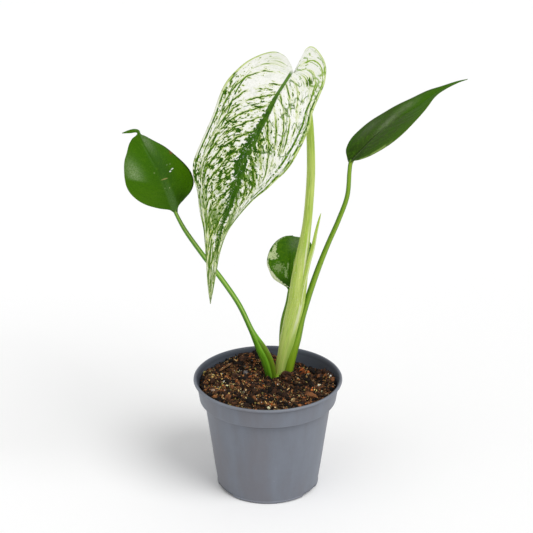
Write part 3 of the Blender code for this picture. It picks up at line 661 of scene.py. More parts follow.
def stalk(name, stations, node, shape=None, count=None, sides=72):
    """An elliptical section swept along a line: width lies across it, depth along Y.

    Stations are x, y, z, half width, half depth in mm.  shape(height, turn) scales the section;
    a turn of 0 is the right side, 90 degrees the back and 270 the front.  Ends are rounded over.
    """
    tall = stations[-1][2] - stations[0][2]
    count = count or int(tall * 1.1)
    line = catmull(stations, count)
    run = unit(np.gradient(line[:, :3], axis=0))
    across = unit(np.cross(np.array([0.0, 1.0, 0.0]), run))
    depth = np.cross(run, across)
    turn = np.linspace(0, 2 * math.pi, sides, endpoint=False)
    scale = np.ones((count, sides)) if shape is None else shape(line[:, 2:3], np.degrees(turn)[None])
    cap = np.sqrt(np.clip(1 - np.linspace(1, 0, 7) ** 2, 0, 1))
    scale = scale * np.concatenate([cap, np.ones(count - 14), cap[::-1]])[:, None]
    wide, deep = line[:, 3][:, None] * scale, line[:, 4][:, None] * scale
    skin = (line[:, None, :3] + (wide * np.cos(turn))[..., None] * across[:, None]
            + (deep * np.sin(turn))[..., None] * depth[:, None])
    length = np.r_[0, np.cumsum(np.linalg.norm(np.diff(line[:, :3], axis=0), axis=1))]
    fields = {
        "skin": np.stack([wide * np.cos(turn), deep * np.sin(turn), length[:, None] + 0 * wide], axis=-1),
        "height": skin[..., 2],
        "front": np.broadcast_to(-np.sin(turn), scale.shape),
        "right": np.broadcast_to(np.cos(turn), scale.shape)}
    made = add_piece(name, skin * MM, grid_faces(count, sides, wrap=True), fields=fields, weld=1e-6)
    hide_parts(node)
    return made


def near(angle, middle, spread):
    """A bump of 1 at an angle, in degrees, that fades over spread degrees either way."""
    away = (angle - middle + 180) % 360 - 180
    return np.exp(-(away / spread) ** 2)


def main_section(z, turn):
    """Round above; below the spear a sheath edge on the right front and a channel beside it."""
    sheath = step(z, 84, 100) * step(-z, -200, -150)
    ribs = 0.012 * np.cos(np.radians(turn) * 14) * step(-z, -330, -250)
    joined = step(-z, -140, -112)
    return (1 + ribs + sheath * (1 - joined) * (0.05 * near(turn, 318, 9) - 0.075 * near(turn, 335, 10))
            + sheath * 0.02 * near(turn, 250, 25) + joined * 0.24 * near(turn, 338, 20))


main_petiole = stalk("main_petiole_skin", [
    (10, 18, 74, 4.2, 4.0), (9.5, 18, 84, 4.5, 4.2), (11, 17, 97, 4.6, 4.2), (13, 16, 108, 4.8, 4.4),
    (15.2, 15.5, 119, 5.6, 4.6), (20, 15, 140, 6.7, 4.9), (22.8, 14.5, 154, 6.8, 5.0),
    (25, 14, 173, 6.5, 4.8), (26.8, 14, 190, 5.3, 4.4), (30, 13.5, 214, 3.8, 3.8),
    (32, 13, 235, 3.4, 3.4), (33.4, 11.5, 265, 3.25, 3.0), (32.6, 8.5, 295, 3.0, 2.8),
    (31, 5.5, 316, 2.6, 2.6), (27.5, 1, 333, 2.5, 2.5), (24, -3.6, 343.9, 2.4, 2.4),
    (20.2, -7.9, 349.6, 1.9, 1.9)], "main_petiole", main_section, sides=96)
spear = stalk("new_leaf_spear_skin", [
    (26, 11, 150, 0.8, 0.8), (27, 10.8, 163, 1.7, 1.7), (29.5, 10.6, 176, 1.9, 1.8),
    (32.4, 10.6, 190, 1.8, 1.8), (35.5, 10.8, 202, 1.6, 1.6), (37.9, 11.2, 215, 1.2, 1.2),
    (40.1, 11.5, 225, 0.8, 0.8), (41.7, 12, 231, 0.35, 0.35)], "new_leaf_spear",
    lambda z, turn: 1 - 0.16 * near(turn, 250, 16) * step(z, 158, 175) + 0.05 * near(turn, 232, 9), sides=48)
small_petiole = stalk("small_petiole_skin", [
    (12, 23, 75, 2.0, 2.0), (12, 23, 92, 2.0, 2.0), (10.9, 23.4, 111, 1.8, 1.8), (11.4, 24, 126, 1.8, 1.8),
    (12.9, 24.3, 136, 1.8, 1.8), (15.7, 25, 147, 1.7, 1.7), (17.1, 25.6, 156, 1.5, 1.5),
    (17.2, 26, 161.2, 1.3, 1.1)], "small_petiole", sides=40)


def left_section(z, turn):
    """A sheath wing stands on the right front up to a blunt top; a channel runs above it."""
    wing = step(z, 82, 90) * step(-z, -125.5, -121)
    return (1 + wing * (0.22 * near(turn, 335, 24) - 0.26 * near(turn, 292, 11))
            - 0.10 * near(turn, 60, 30) * step(z, 126, 150))


left_petiole = stalk("left_petiole_skin", [
    (4, 16, 76, 3.6, 3.6), (2.6, 15, 85.5, 4.0, 3.8), (1.4, 13.5, 93.5, 4.4, 4.0),
    (-1, 11.5, 103.5, 4.7, 3.9), (-4.9, 9.5, 113.5, 4.4, 3.6), (-9.1, 8, 123, 3.3, 2.9),
    (-13.7, 6.5, 133.5, 2.25, 2.3), (-23, 4, 156, 2.1, 2.1), (-36, 1, 178.5, 2.05, 2.05),
    (-50.2, -2, 200, 1.95, 1.95), (-63.4, -5, 221.5, 1.75, 1.75), (-69.9, -6.4, 235, 1.5, 1.4),
    (-72.0, -5.9, 240.5, 1.5, 1.1), (-74.0, -4.2, 246, 1.3, 0.7), (-76.3, -2.2, 253, 0.8, 0.5)],
    "left_petiole", left_section)
right_petiole = stalk("right_petiole_skin", [
    (14.5, 15, 76, 2.8, 3.2), (16.2, 15.5, 85.5, 3.1, 3.4), (18.3, 15.5, 98, 3.5, 3.6),
    (20.7, 15.8, 109, 3.6, 3.6), (23.5, 16.2, 119.5, 3.4, 3.4), (25.7, 16.8, 130, 3.1, 3.0),
    (28, 17.5, 140, 2.7, 2.8), (33.7, 19, 160, 2.5, 2.5), (40.5, 20.3, 181, 2.3, 2.3),
    (47.8, 21, 201, 2.05, 2.05), (56, 22.5, 221, 1.95, 1.95), (62.5, 24, 240.5, 1.85, 1.85),
    (63.9, 25, 260, 1.7, 1.7), (64.6, 25, 267, 1.7, 1.6), (65.8, 25.6, 269.3, 1.7, 1.0),
    (69.0, 27.4, 271.0, 1.0, 0.5)], "right_petiole",
    lambda z, turn: 1 - 0.12 * near(turn, 110, 25) * step(z, 115, 140), sides=64)


def stem_paint(name, pale, mid, deep, streak, gloss):
    """Fleshy skin: fine streaks drawn out along the stalk over a broad drift of tone."""
    paint = Paint(name, Roughness=gloss, Specular_IOR_Level=0.25, Subsurface_Weight=0.08,
                  Subsurface_Scale=0.003)
    paint.shader.inputs["Subsurface Radius"].default_value = (0.5, 0.8, 0.25)
    skin = paint.field("skin", "Vector")
    broad = paint.noise(paint.stretch(skin, (0.30, 0.30, 0.018)), 1.0, 3, 0.5)
    fibre = paint.noise(paint.stretch(skin, (1.6, 1.6, 0.05)), 1.0, 4, 0.65)
    dash = paint.noise(paint.stretch(skin, (3.5, 3.5, 0.45)), 1.0, 2, 0.6)
    paint.base(broad.ramp(0.32, 0.68), mid, pale)
    paint.lay(fibre.ramp(0.50, 0.72) * streak, deep)
    paint.lay(fibre.ramp(0.50, 0.28) * streak, tuple(min(1, 1.25 * c) for c in pale))
    return paint, fibre, dash, paint.field("height"), paint.field("front"), paint.field("right")


def highlight_along(right, fibre, middle, waver, half):
    """A painted highlight: 1 on a wavering line along a stalk, that far to the right of its middle, fading to
    each side.
    """
    return 1 - ((right - middle + (fibre - 0.5) * waver) ** 2).ramp(0.0, half)


paint, fibre, dash, tall, front, right = stem_paint(
    "Pale petiole", (0.52, 0.62, 0.15), (0.38, 0.55, 0.055), (0.17, 0.34, 0.012), 0.8, 0.42)
paint.lay(tall.ramp(134, 112) * right.ramp(0.1, 0.75) * 0.75, (0.22, 0.42, 0.015))
sheathed = tall.ramp(118, 140) * tall.ramp(232, 200) * front.ramp(0.1, 0.6)
# Painted highlight: a cream line down the front of the sheathed part.
paint.lay(sheathed * highlight_along(right, fibre, 0.52, 0.25, 0.045) * 0.7, (0.78, 0.80, 0.55))
paint.lay(sheathed * dash.ramp(0.60, 0.68) * 0.5, (0.80, 0.82, 0.60))
paint.lay(tall.ramp(225, 330) * 0.35, (0.30, 0.42, 0.07))
paint.lay(tall.ramp(160, 105) * 0.25, (0.66, 0.84, 0.26))
pale_finish = paint.finish(fibre, 0.00025, roughness=0.42 + (dash - 0.5) * 0.2)
for pale in (main_petiole, spear):
    pale.data.materials.append(pale_finish)

paint, fibre, dash, tall, front, right = stem_paint(
    "Green petiole", (0.22, 0.38, 0.020), (0.135, 0.28, 0.008), (0.055, 0.15, 0.003), 0.6, 0.36)
# Painted highlight down the front.
paint.lay(highlight_along(right, fibre, 0.20, 0.4, 0.14) * front.ramp(0, 0.5) * 0.55, (0.29, 0.43, 0.035))
paint.lay(tall.ramp(140, 96) * 0.6, (0.24, 0.40, 0.012))
# Painted shade down both sides, where the round stalk turns away from the light.
paint.lay(right.ramp(-0.45, -0.85) * tall.ramp(96, 150) * 0.7, (0.045, 0.15, 0.006))
paint.lay(right.ramp(0.60, 0.95) * 0.5, (0.045, 0.13, 0.008))
green_finish = paint.finish(fibre, 0.0002, roughness=0.36 + (dash - 0.5) * 0.2)
for green in (small_petiole, right_petiole):
    green.data.materials.append(green_finish)

paint, fibre, dash, tall, front, right = stem_paint(
    "Sheathed petiole", (0.19, 0.42, 0.025), (0.095, 0.29, 0.008), (0.035, 0.14, 0.003), 0.6, 0.34)
wing = tall.ramp(126, 118) * right.ramp(0.35, 0.50)
paint.lay(wing * 0.8, (0.125, 0.215, 0.010))
paint.lay(wing * right.ramp(0.90, 0.975) * 0.85, (0.40, 0.22, 0.09))
# Painted shade on the left side, at the foot and higher up.
paint.lay(tall.ramp(100, 84) * right.ramp(0.3, -0.4) * 0.55, (0.035, 0.13, 0.008))
paint.lay(right.ramp(-0.15, -0.65) * tall.ramp(112, 140) * 0.75, (0.050, 0.150, 0.006))
# Painted highlight down the front.
lit = highlight_along(right, fibre, 0.40, 0.3, 0.12) * front.ramp(0, 0.5) * tall.ramp(112, 150)
paint.lay(lit * 0.75, (0.43, 0.58, 0.15))
# Painted shade along both edges, where the round stalk turns away from the light.
paint.lay(right.ramp(-0.40, -0.85) * 0.6, (0.045, 0.16, 0.008))
paint.lay(right.ramp(0.70, 0.95) * tall.ramp(124, 140) * 0.5, (0.06, 0.18, 0.010))
left_petiole.data.materials.append(paint.finish(fibre, 0.0002, roughness=0.34 + (dash - 0.5) * 0.2))

# The crown is the short buried stem with its thick white roots, all under the mix.
crown = stalk("crown_skin", [
    (11, 17, 52, 2.5, 2.5), (11, 17, 56, 6, 6), (11, 16.5, 66, 8, 8), (10, 15, 76, 7, 6.5),
    (8.5, 13, 83, 4.0, 3.6), (8, 12, 88, 2.6, 2.4), (8, 11.5, 90, 1.2, 1.1)], "stem_crown",
    lambda z, turn: 1 + 0.06 * np.sin(z * 0.9) + 0 * turn, count=60, sides=56)
crown.data.materials.append(green_finish)
ROOTS = [
    [(11, 17, 66, 2.6, 2.6), (26, 6, 52, 2.0, 2.0), (34, -4, 30, 1.2, 1.2), (30, -8, 12, 0.7, 0.7)],
    [(11, 17, 64, 2.4, 2.4), (-8, 22, 50, 1.8, 1.8), (-24, 18, 28, 1.1, 1.1), (-26, 8, 12, 0.7, 0.7)],
    [(11, 17, 60, 2.4, 2.4), (4, 2, 44, 1.8, 1.8), (-4, -18, 24, 1.1, 1.1), (-2, -26, 11, 0.7, 0.7)],
    [(11, 17, 62, 2.2, 2.2), (14, 33, 48, 1.6, 1.6), (6, 34, 26, 1.0, 1.0), (2, 28, 12, 0.7, 0.7)]]
root_paint = Paint("Pale root", Roughness=0.7)
skinned = root_paint.noise(root_paint.place(), 300, 4, 0.6)
root_paint.base(skinned.ramp(0.4, 0.65), (0.55, 0.46, 0.30), (0.25, 0.17, 0.09))
root_finish = root_paint.finish(skinned, 0.0004)
for i, line in enumerate(ROOTS):
    root = stalk(f"root_{i + 1}", line[::-1], "stem_crown",
                 lambda z, turn: 1 + 0.10 * np.sin(z * 1.3) * np.cos(np.radians(turn)), count=70, sides=24)
    root.data.materials.append(root_finish)

# A dry twig lies over the mix at the back left.
twig_paint = Paint("Dry twig", Roughness=0.8, Specular_IOR_Level=0.25)
ply = twig_paint.noise(twig_paint.stretch(twig_paint.place(), (500, 500, 2200)), 1.0, 4, 0.6)
twig_paint.base(ply.ramp(0.35, 0.65), (0.07, 0.03, 0.015), (0.30, 0.15, 0.06))
twig = stalk("twig", [
    (-41, 19, 88.9, 0.6, 0.6), (-35, 24.5, 90.6, 0.95, 0.95), (-29, 31, 91.6, 0.5, 0.5)], "stick",
    lambda z, turn: 1 + 0.15 * np.sin(z * 5 + np.radians(turn) * 2), count=40, sides=20)
twig.data.materials.append(twig_paint.finish(ply, 0.0004))

# --- Leaf blades ----------------------------------------------------------
# Leathery heart-shaped blades, about 0.8 mm thick, thinning to the margin.  The
# midrib is a groove above and a keel below, the side veins are pressed in.

# At these places along a midrib of VEIN_LENGTH a side vein leaves it at these angles.
VEIN_LENGTH = 193.5
VEIN_STARTS = np.array([0, 9, 27, 35, 60, 90, 130, 165, 260])
VEIN_ANGLES = np.radians([90, 58, 47, 45, 35, 24, 14, 9, 6])
BACK_BEND = 0.012
HALF_THICK, THIN_EDGE = 0.40, 1.2
GROOVE_DEEP, GROOVE_HALF, KEEL_HIGH, KEEL_HALF = 0.55, 1.1, 0.9, 1.2
WAVE_LONG = 26


def vein_lines(along, width, v, length, half):
    """Which side vein passes through each point, as a distance across the veins in mm.

    A vein leaves the midrib at an angle that closes from 90 degrees at the base to 8 at the tip, and
    bends towards the tip by 10.5 v^3 / (1.05 - v) on the left and 20 v^2 / (1.05 - v) on the right.
    Its start is found by halving; behind the base they fan out as rays, half a millimetre a degree.
    """
    size = length / VEIN_LENGTH
    start = VEIN_STARTS * size
    fine = np.linspace(0, start[-1], 800)
    opening = np.interp(fine, start, VEIN_ANGLES)
    across = np.r_[0, np.cumsum(np.sin(opening[1:]) * np.diff(fine))]
    bend = (10.5 * v ** 3 if half < 0 else 20 * v ** 2) / (1.05 - v) * size
    reach = along - bend
    low, high = np.zeros_like(reach), np.full_like(reach, start[-1])
    for _ in range(30):
        middle = (low + high) / 2
        short = middle + width / np.tan(np.interp(middle, start, VEIN_ANGLES)) < reach
        low, high = np.where(short, middle, low), np.where(short, high, middle)
    ahead = np.interp(low, fine, across)
    behind = -0.5 * size * np.degrees(np.arctan2(np.maximum(-reach, 0), np.maximum(width, 0.2)))
    return np.where(reach < 0, behind, ahead)


def blade(name, node, midrib, face, left, right, droop, curl, notch, rows, columns, hangs=False,
          vein_gap=8.0, pleat=0.12, wave=0.5, seed=0):
    """A blade of two halves between the midrib and each margin, thickened both ways.

    Row u starts on the midrib and meets the margin u of the way round it; along the row, v from 0
    to 1 is the share of that distance, closer near both.  A point lies `along` the midrib and `width`
    from it: it goes out sideways on an arc that leaves at the droop angle and turns by curl a
    centimetre, and behind the base it bends back by BACK_BEND radians a millimetre.  The margins left
    and right are rows of along and width.
    """
    line = catmull(midrib, 220)
    measure = np.r_[0, np.cumsum(np.linalg.norm(np.diff(line, axis=0), axis=1))]
    length = measure[-1]
    u = np.linspace(0, 1, rows)
    even = np.linspace(0, 1, columns)
    v = (even - 0.11 * np.sin(2 * math.pi * even))[None, :]

    def at(distance):
        """Points on the midrib that far along it, in mm."""
        return np.stack([np.interp(np.clip(distance, 0, length), measure, c) for c in line.T], axis=-1)

    points, quads, sheet, veins, shares, paces = [], [], [], [], [], []
    edges = [catmull(left, rows), catmull(right, rows)]
    both = (edges[0][:, 1:] + edges[1][:, 1:]) / 2
    for half, edge in zip((-1, 1), edges):
        side = half if hangs else -half
        k = 0 if side < 0 else 1
        root = length * np.clip((u - notch) / (1 - notch), 0, 1) ** 1.05
        along = root[:, None] + (edge[:, :1] - root[:, None]) * v
        width = edge[:, 1:] * v
        vein = vein_lines(along, width, v, length, half)
        # How fast that distance grows across the sheet, from the grid's own slopes.
        (ar, ac), (wr, wc), (vr, vc) = np.gradient(along), np.gradient(width), np.gradient(vein)
        area = ar * wc - ac * wr
        area = np.where(np.abs(area) < 1e-4, 1e-4, area)
        pace = np.clip(np.hypot((vr * wc - vc * wr) / area, (vc * ar - vr * ac) / area), 0.5, 12)
        on_rib = np.clip(along, 0, length)
        run = unit(at(on_rib + 2.5) - at(on_rib - 2.5))
        out = unit(np.array(face) - (run @ np.array(face))[..., None] * run)
        across = np.cross(out, run)
        bent = BACK_BEND * np.minimum(along, 0)[..., None]
        point = at(on_rib) + (np.sin(bent) * run + (np.cos(bent) - 1) * out) / BACK_BEND
        tilt, turn_rate = math.radians(droop[k]), math.radians(curl[k]) / 10
        sideways = (np.sin(tilt + turn_rate * width) - math.sin(tilt)) / turn_rate
        down = (math.cos(tilt) - np.cos(tilt + turn_rate * width)) / turn_rate
        middle = point + side * sideways[..., None] * across - down[..., None] * out
        # Pleats between the side veins, a slow wave towards the margin and the midrib groove.
        press = np.cos(2 * math.pi * vein / vein_gap)
        slack = step(v, 0.05, 0.35) * step(-v, -0.98, -0.6) * step(width, 1, 8)
        ripple = grain(np.stack([along, side * width, 0 * along], axis=-1), WAVE_LONG, seed)
        ripple = wave * v ** 2 * ripple * step(width, 2, 12)
        body = step(root[:, None], 2, 14) * step(-root[:, None], -length * 0.97, -length * 0.6)
        groove = GROOVE_DEEP * np.exp(-(width / GROOVE_HALF) ** 2) * body * (1 - v ** 4)
        ribbed = step(-root[:, None], -length * 0.99, -length * 0.5)
        keel = KEEL_HIGH * np.exp(-(width / KEEL_HALF) ** 2) * ribbed * (1 - v ** 4)
        lift = -pleat * press * slack + ripple
        # The thickness falls to nothing over the last THIN_EDGE before the margin, in a quarter round.
        cut_off = np.clip((1 - v) * np.maximum(v * edge[:, 1:] + (1 - v) * both, 0.4) / THIN_EDGE, 0, 1)
        ends = np.clip(np.minimum(u, 1 - u)[:, None] * rows / 2.0, 0, 1)
        half_thick = HALF_THICK * np.sqrt(1 - (1 - cut_off) ** 2) * ends
        top = middle + (lift + half_thick - np.minimum(groove, half_thick + 0.25))[..., None] * out
        under = middle + (lift - half_thick - keel * ends)[..., None] * out
        for layer, skin in enumerate((top, under)):
            faces = grid_faces(rows, columns, start=len(points) * rows * columns)
            quads.append(faces[:, ::-1] if (side < 0) == (layer == 0) else faces)
            points.append(skin)
            sheet.append(np.stack([half * width, along], axis=-1))
            veins.append(np.stack([vein, along], axis=-1))
            shares.append(v + 0 * vein)
            paces.append(pace)
    made = add_piece(name, np.array(points) * MM, np.array(quads), maps={
        "sheet": np.array(sheet) / 10, "veins": np.array(veins) / 10},
        fields={"outward": np.array(shares), "pace": np.array(paces)}, weld=1e-6)
    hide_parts(node)
    return made


main_blade = blade(
    "main_blade", "main_leaf_blade",
    midrib=[(19.1, -10, 351), (13.4, -17.5, 344), (6, -26, 335), (-2.7, -34.5, 323), (-12.5, -43, 308.5),
            (-19.5, -49, 295), (-25.2, -55, 276.5), (-32.2, -60, 256), (-37.3, -63, 236.5),
            (-41.2, -64, 212.5), (-43.4, -62, 185.5)],
    face=(0.10, -0.93, 0.36), droop=(10, 6), curl=(2.5, 2.0), notch=0.22, hangs=True,
    left=[(-1.5, 1.5), (-5.5, 5.5), (-9.5, 13), (-7.7, 22.5), (5.5, 33), (20, 37.5), (33, 39.5), (46, 38),
          (60, 34.8), (75, 33.7), (90, 34.5), (103, 30.8), (112, 24.8), (124, 18.9), (136, 12.4), (150, 8.2),
          (166, 4.8), (180, 2.8), (193.3, 0.3)],
    right=[(-1, 2), (-3.8, 3.4), (-8, 2.2), (-14.7, -0.2), (-22, -1.8), (-27.5, -0.9), (-31, 1.3),
           (-31.8, 5.8), (-28.7, 13), (-22.6, 19.1), (-11, 24.1), (-2, 25.8), (10.5, 27.6), (18, 29.5),
           (28, 32.9), (40, 34.6), (52, 35.6), (65, 35.2), (80, 32), (92, 26.2), (104, 17.0), (120, 10.0),
           (134, 5.5), (150, 3.4), (170, 2.6), (193.3, 0.3)],
    rows=300, columns=54, vein_gap=8, pleat=0.10, wave=0.8, seed=3)
left_blade = blade(
    "left_blade", "left_leaf_blade",
    midrib=[(-71.9, -7, 241), (-77.2, -5, 256), (-84.5, -2, 271.5), (-92, 2, 284.5), (-96.3, 4.8, 292),
            (-98.6, 6, 297.4), (-100.0, 6.6, 299.4), (-104.5, 6.6, 299.9), (-111.8, 6.2, 298.4)],
    face=(0, -0.90, 0.42), droop=(4, 4), curl=(3, 3), notch=0.06,
    left=[(-3.4, 0.3), (-2.4, 1.5), (-0.6, 2.7), (1.2, 4.6), (4.8, 12), (11, 20.3), (20, 25.6), (30, 27.8),
          (40.5, 25.7), (51, 19.8), (56.5, 14.1), (60.8, 9.4), (64.2, 4.8), (65.2, 1.4), (67.5, 1.0),
          (71.6, 1.5), (75.5, 0.9), (79, 0.2)],
    right=[(-4.4, 0.3), (-2.6, 1.6), (-0.2, 2.6), (2.0, 4.6), (4.6, 9.4), (8.8, 16.8), (14.0, 21.3),
           (20.5, 22.4), (28, 20.9), (38, 17), (47, 13.2), (54, 8.8), (60.8, 4.3), (63.5, 1.6), (65, 1.4),
           (67.3, 1.9), (71.6, 1.4), (75.5, 0.8), (79, 0.2)],
    rows=130, columns=36, vein_gap=6, pleat=0.05, wave=0.3, seed=5)
right_blade = blade(
    "right_blade", "right_leaf_blade",
    midrib=[(65.5, 25, 270), (76.5, 29.5, 281), (87.5, 33.5, 290.5), (101, 39, 299), (117, 45, 307.5),
            (132.5, 50, 317.5), (147.5, 53.5, 324), (157, 55, 326.7)],
    face=(-0.1, -0.15, 0.98), droop=(-8, -8), curl=(3, 3), notch=0.06,
    left=[(-3, 0.4), (-2.6, 2.0), (-0.8, 5.5), (4, 13.0), (14, 17.7), (27, 18), (45, 15.5), (62, 14),
          (78, 10), (91, 4.5), (103, 2), (113.5, 0.3)],
    right=[(-3, 0.4), (-1.2, 1.8), (1.2, 4.2), (4.4, 9.0), (12, 16), (24, 22.5), (34, 24), (48, 22),
           (61, 16.5), (74, 9.5), (83, 5), (96, 2.4), (113.5, 0.3)],
    rows=150, columns=36, vein_gap=6, pleat=0.07, wave=0.4, seed=8)
small_blade = blade(
    "small_blade", "small_leaf_blade",
    midrib=[(17.3, 26, 161.2), (17.6, 28.5, 175.5), (18.5, 31.5, 190), (20, 33.5, 203.4)],
    face=(0, -0.95, 0.30), droop=(6, 6), curl=(3, 3), notch=0.06,
    left=[(-4, 0.4), (-2, 1.2), (0, 2.4), (2.2, 6.0), (6.3, 12.8), (12.6, 16.6), (19.6, 18.9), (28.5, 17.3),
          (36.3, 12.6), (41.2, 6.6), (42.9, 0.3)],
    right=[(0, 0.5), (0.4, 3), (2.2, 6.2), (6.9, 11.2), (14.6, 14.8), (24.8, 16.4), (33.0, 16.9),
           (38.6, 14.8), (41.6, 8.5), (42.3, 0.3)],
    rows=90, columns=34, vein_gap=5, pleat=0.05, wave=0.3, seed=11)

# The large blade is cream white with green veins; green marbling runs along the
# veins and thickens down the left half, and a solid streak lies over the midrib.
leaf = Paint("Variegated leaf", Roughness=0.45, Specular_IOR_Level=0.08)
sheet, veins = leaf.map("sheet"), leaf.map("veins")
x, a = leaf.part(sheet, "X"), leaf.part(sheet, "Y")
v = leaf.field("outward")
fine = leaf.noise(sheet, 9.0, 3, 0.6)
grit = leaf.noise(sheet, 17.0, 2, 0.6)
q = leaf.part(veins, "X") + (leaf.noise(sheet, 1.5, 2) - 0.5) * 0.30 + (fine - 0.5) * 0.06
is_left = x.ramp(0.05, -0.05)
is_right = 1 - is_left


def along_veins(across, along, detail, shift=0.0):
    """Noise drawn out along the side veins, with that many grains a centimetre each way."""
    return leaf.noise(leaf.spot(q * across + is_left * 23, a * along, shift), 1.0, detail, 0.6)


# Behind the base and at the tip the veins crowd together, and the marbling follows the margin
# there; apart is 1 where they stand well apart.
pace = leaf.field("pace")
apart = pace.ramp(4.6, 2.4)
beside = leaf.noise(leaf.spot(v * 17 + is_left * 3, a * 1.9, 2.0), 1.0, 3, 0.6)
marbling = along_veins(4.7, 2.2, 3) * apart + beside * (1 - apart)
dashes = marbling * 0.60 + along_veins(1.6, 0.7, 2, 5.0) * 0.15 + fine * 0.25

# How much green there is: soft ovals, each given by its middle and half sizes across and along
# the sheet in cm, and how much it adds.
share = 0.03
for cx, ca, sx, sa, green in [
        (-1.7, 9.0, 2.0, 3.2, 0.37), (-3.4, 3.6, 0.8, 1.8, 0.30), (-2.2, 5.8, 0.9, 1.4, 0.20),
        (-0.8, 2.9, 0.6, 1.3, 0.40), (-1.2, 6.0, 1.2, 2.0, 0.20), (0.7, 6.2, 0.6, 2.4, 0.30),
        (1.3, 9.3, 0.7, 1.5, 0.20), (1.7, 5.8, 0.5, 0.6, 0.40), (0.9, 1.8, 0.35, 1.2, 0.26),
        (-0.4, 12.6, 0.4, 2.2, 0.22), (-3.3, 10.2, 0.7, 1.3, 0.45), (1.37, -0.3, 0.32, 0.5, 0.75),
        (0.9, 7.8, 0.4, 3.0, 0.14), (-1.2, 10.8, 1.1, 1.4, 0.16), (0.8, 10.4, 0.35, 1.0, 0.22),
        (1.3, 9.0, 0.35, 1.4, 0.16), (-0.8, 8.7, 0.6, 1.6, 0.20)]:
    share = share + leaf.oval(x, a, cx, ca, sx, sa) * green
level = 0.615 - share * 0.25


def islets(across, along):
    """Distance to the edge of ragged cells: across is a place, along is cells a centimetre."""
    ragged = leaf.spot(across + (grit - 0.5) * 0.6, a * along + (fine - 0.5) * 1.3, is_left * 5)
    return leaf.cells(ragged, 1.0, "DISTANCE_TO_EDGE")


islands = islets(q * 5.0, 2.4) * apart + (1 - apart) * islets(v * 20, 2.3)
flood = (dashes - level) * 2.4 + 0.09 - islands
blotch = flood.ramp(-0.012, 0.022)
halo = flood.ramp(-0.15, 0.0)

# Broken main veins every 7.2 mm, thin ones every 3.6 mm, and short lines that join them.
quiet = a.ramp(2.5, 0.0) * 0.05 + is_left * a.ramp(3.0, 1.0) * 0.03
broken = along_veins(1.1, 0.55, 3, 3.0) + share * 0.14 - quiet
main_veins = q.line(0.72, pace * 0.062) * (broken - is_right * 0.03).ramp(0.42, 0.50) * apart
thin_veins = (q.line(0.36, pace * 0.045, 0.0) * (along_veins(1.6, 0.7, 2, 7.0) - quiet).ramp(0.57, 0.62)
              * 0.7 * apart * (1 - is_right * a.ramp(6.5, 4.0) * 0.75))
links = leaf.cells(leaf.spot(q * 1.35, a * 1.15, is_left * 9), 1.0, "DISTANCE_TO_EDGE").ramp(0.075, 0.040)
links = links * leaf.noise(sheet, 1.3, 2).ramp(0.45, 0.52) * (is_right * 0.85 + 0.15)


def rail(share_out, half, first, last, drift, side):
    """A broken line on one side that keeps its share of the way out to the margin.

    It is twice `half` wide, as a share of that way, and runs from first to last along the sheet, in
    cm; drift changes the scale of the noise that breaks it.
    """
    off = (v + (leaf.noise(sheet, 0.8, 2) - 0.5) * 0.03 - share_out) / half
    here = leaf.noise(sheet, 1.4 + drift, 2).ramp(0.36, 0.48)
    ends = a.ramp(first, first + 0.8) * a.ramp(last, last - 1.5)
    return (1 - off * off).ramp(0.0, 0.6) * here * ends * side


# Lines along the margin, and a small ring on the right lobe.
ring = ((x - 1.72) / 0.32) ** 2 + ((a + 0.45 + (x - 1.72) * 0.4) / 0.40) ** 2 - 1 + (fine - 0.5) * 1.2
rails = rail(0.74, 0.017, 1.5, 13.5, 0.0, is_left).most(
    rail(0.84, 0.013, 2.5, 14.5, 0.13, is_left), rail(0.945, 0.019, 2.0, 16.5, 0.29, is_left),
    rail(0.935, 0.036, 7.4, 13.8, 0.41, is_right), rail(0.93, 0.026, -3.5, 8.0, 0.53, is_right),
    rail(0.82, 0.027, -1.0, 12.0, 0.67, is_right),
    (1 - (ring / 0.6) ** 2).ramp(0.0, 0.8) * leaf.noise(sheet, 2.3, 2).ramp(0.42, 0.50) * 0.8)

# The streak over the midrib: its middle and half width change along the sheet, its sides are
# ragged, and a few pale holes break it.
streak_mid = a.ramp(1.5, 5.0) * 0.18 + a.ramp(7.5, 10.5) * 0.10 - a.ramp(11.0, 13.0) * 0.09 - 0.16
streak_half = (0.12 + a.ramp(1.5, 4.5) * 0.12 + a.ramp(4.5, 7.0) * 0.19 - a.ramp(8.5, 11.0) * 0.17
               - a.ramp(11.0, 14.5) * 0.17)
ragged = (leaf.noise(sheet, 4.5, 4, 0.65) - 0.5) * 0.9
torn = a.ramp(9.5, 11.5) * 0.6
left_reach = ((streak_mid - x) - streak_half - ragged * (a.ramp(1.5, 6.0) + torn)
              - (dashes - 0.47) * 1.7 * a.ramp(4.0, 7.5))
right_reach = (x - streak_mid) - streak_half - ragged * (0.10 + a.ramp(2.5, 6.0) * 0.22 + torn)
streak = left_reach.ramp(0.03, -0.03) * right_reach.ramp(0.03, -0.03) * a.ramp(-0.2, 0.3) * a.ramp(15.8, 14.0)
streak = streak * (1 - dashes.ramp(0.430, 0.415) * a.ramp(4.5, 7.0))
solid = blotch.most(streak)
lines = main_veins.most(thin_veins, links * 0.8, rails) * a.ramp(-3.0, -2.4)
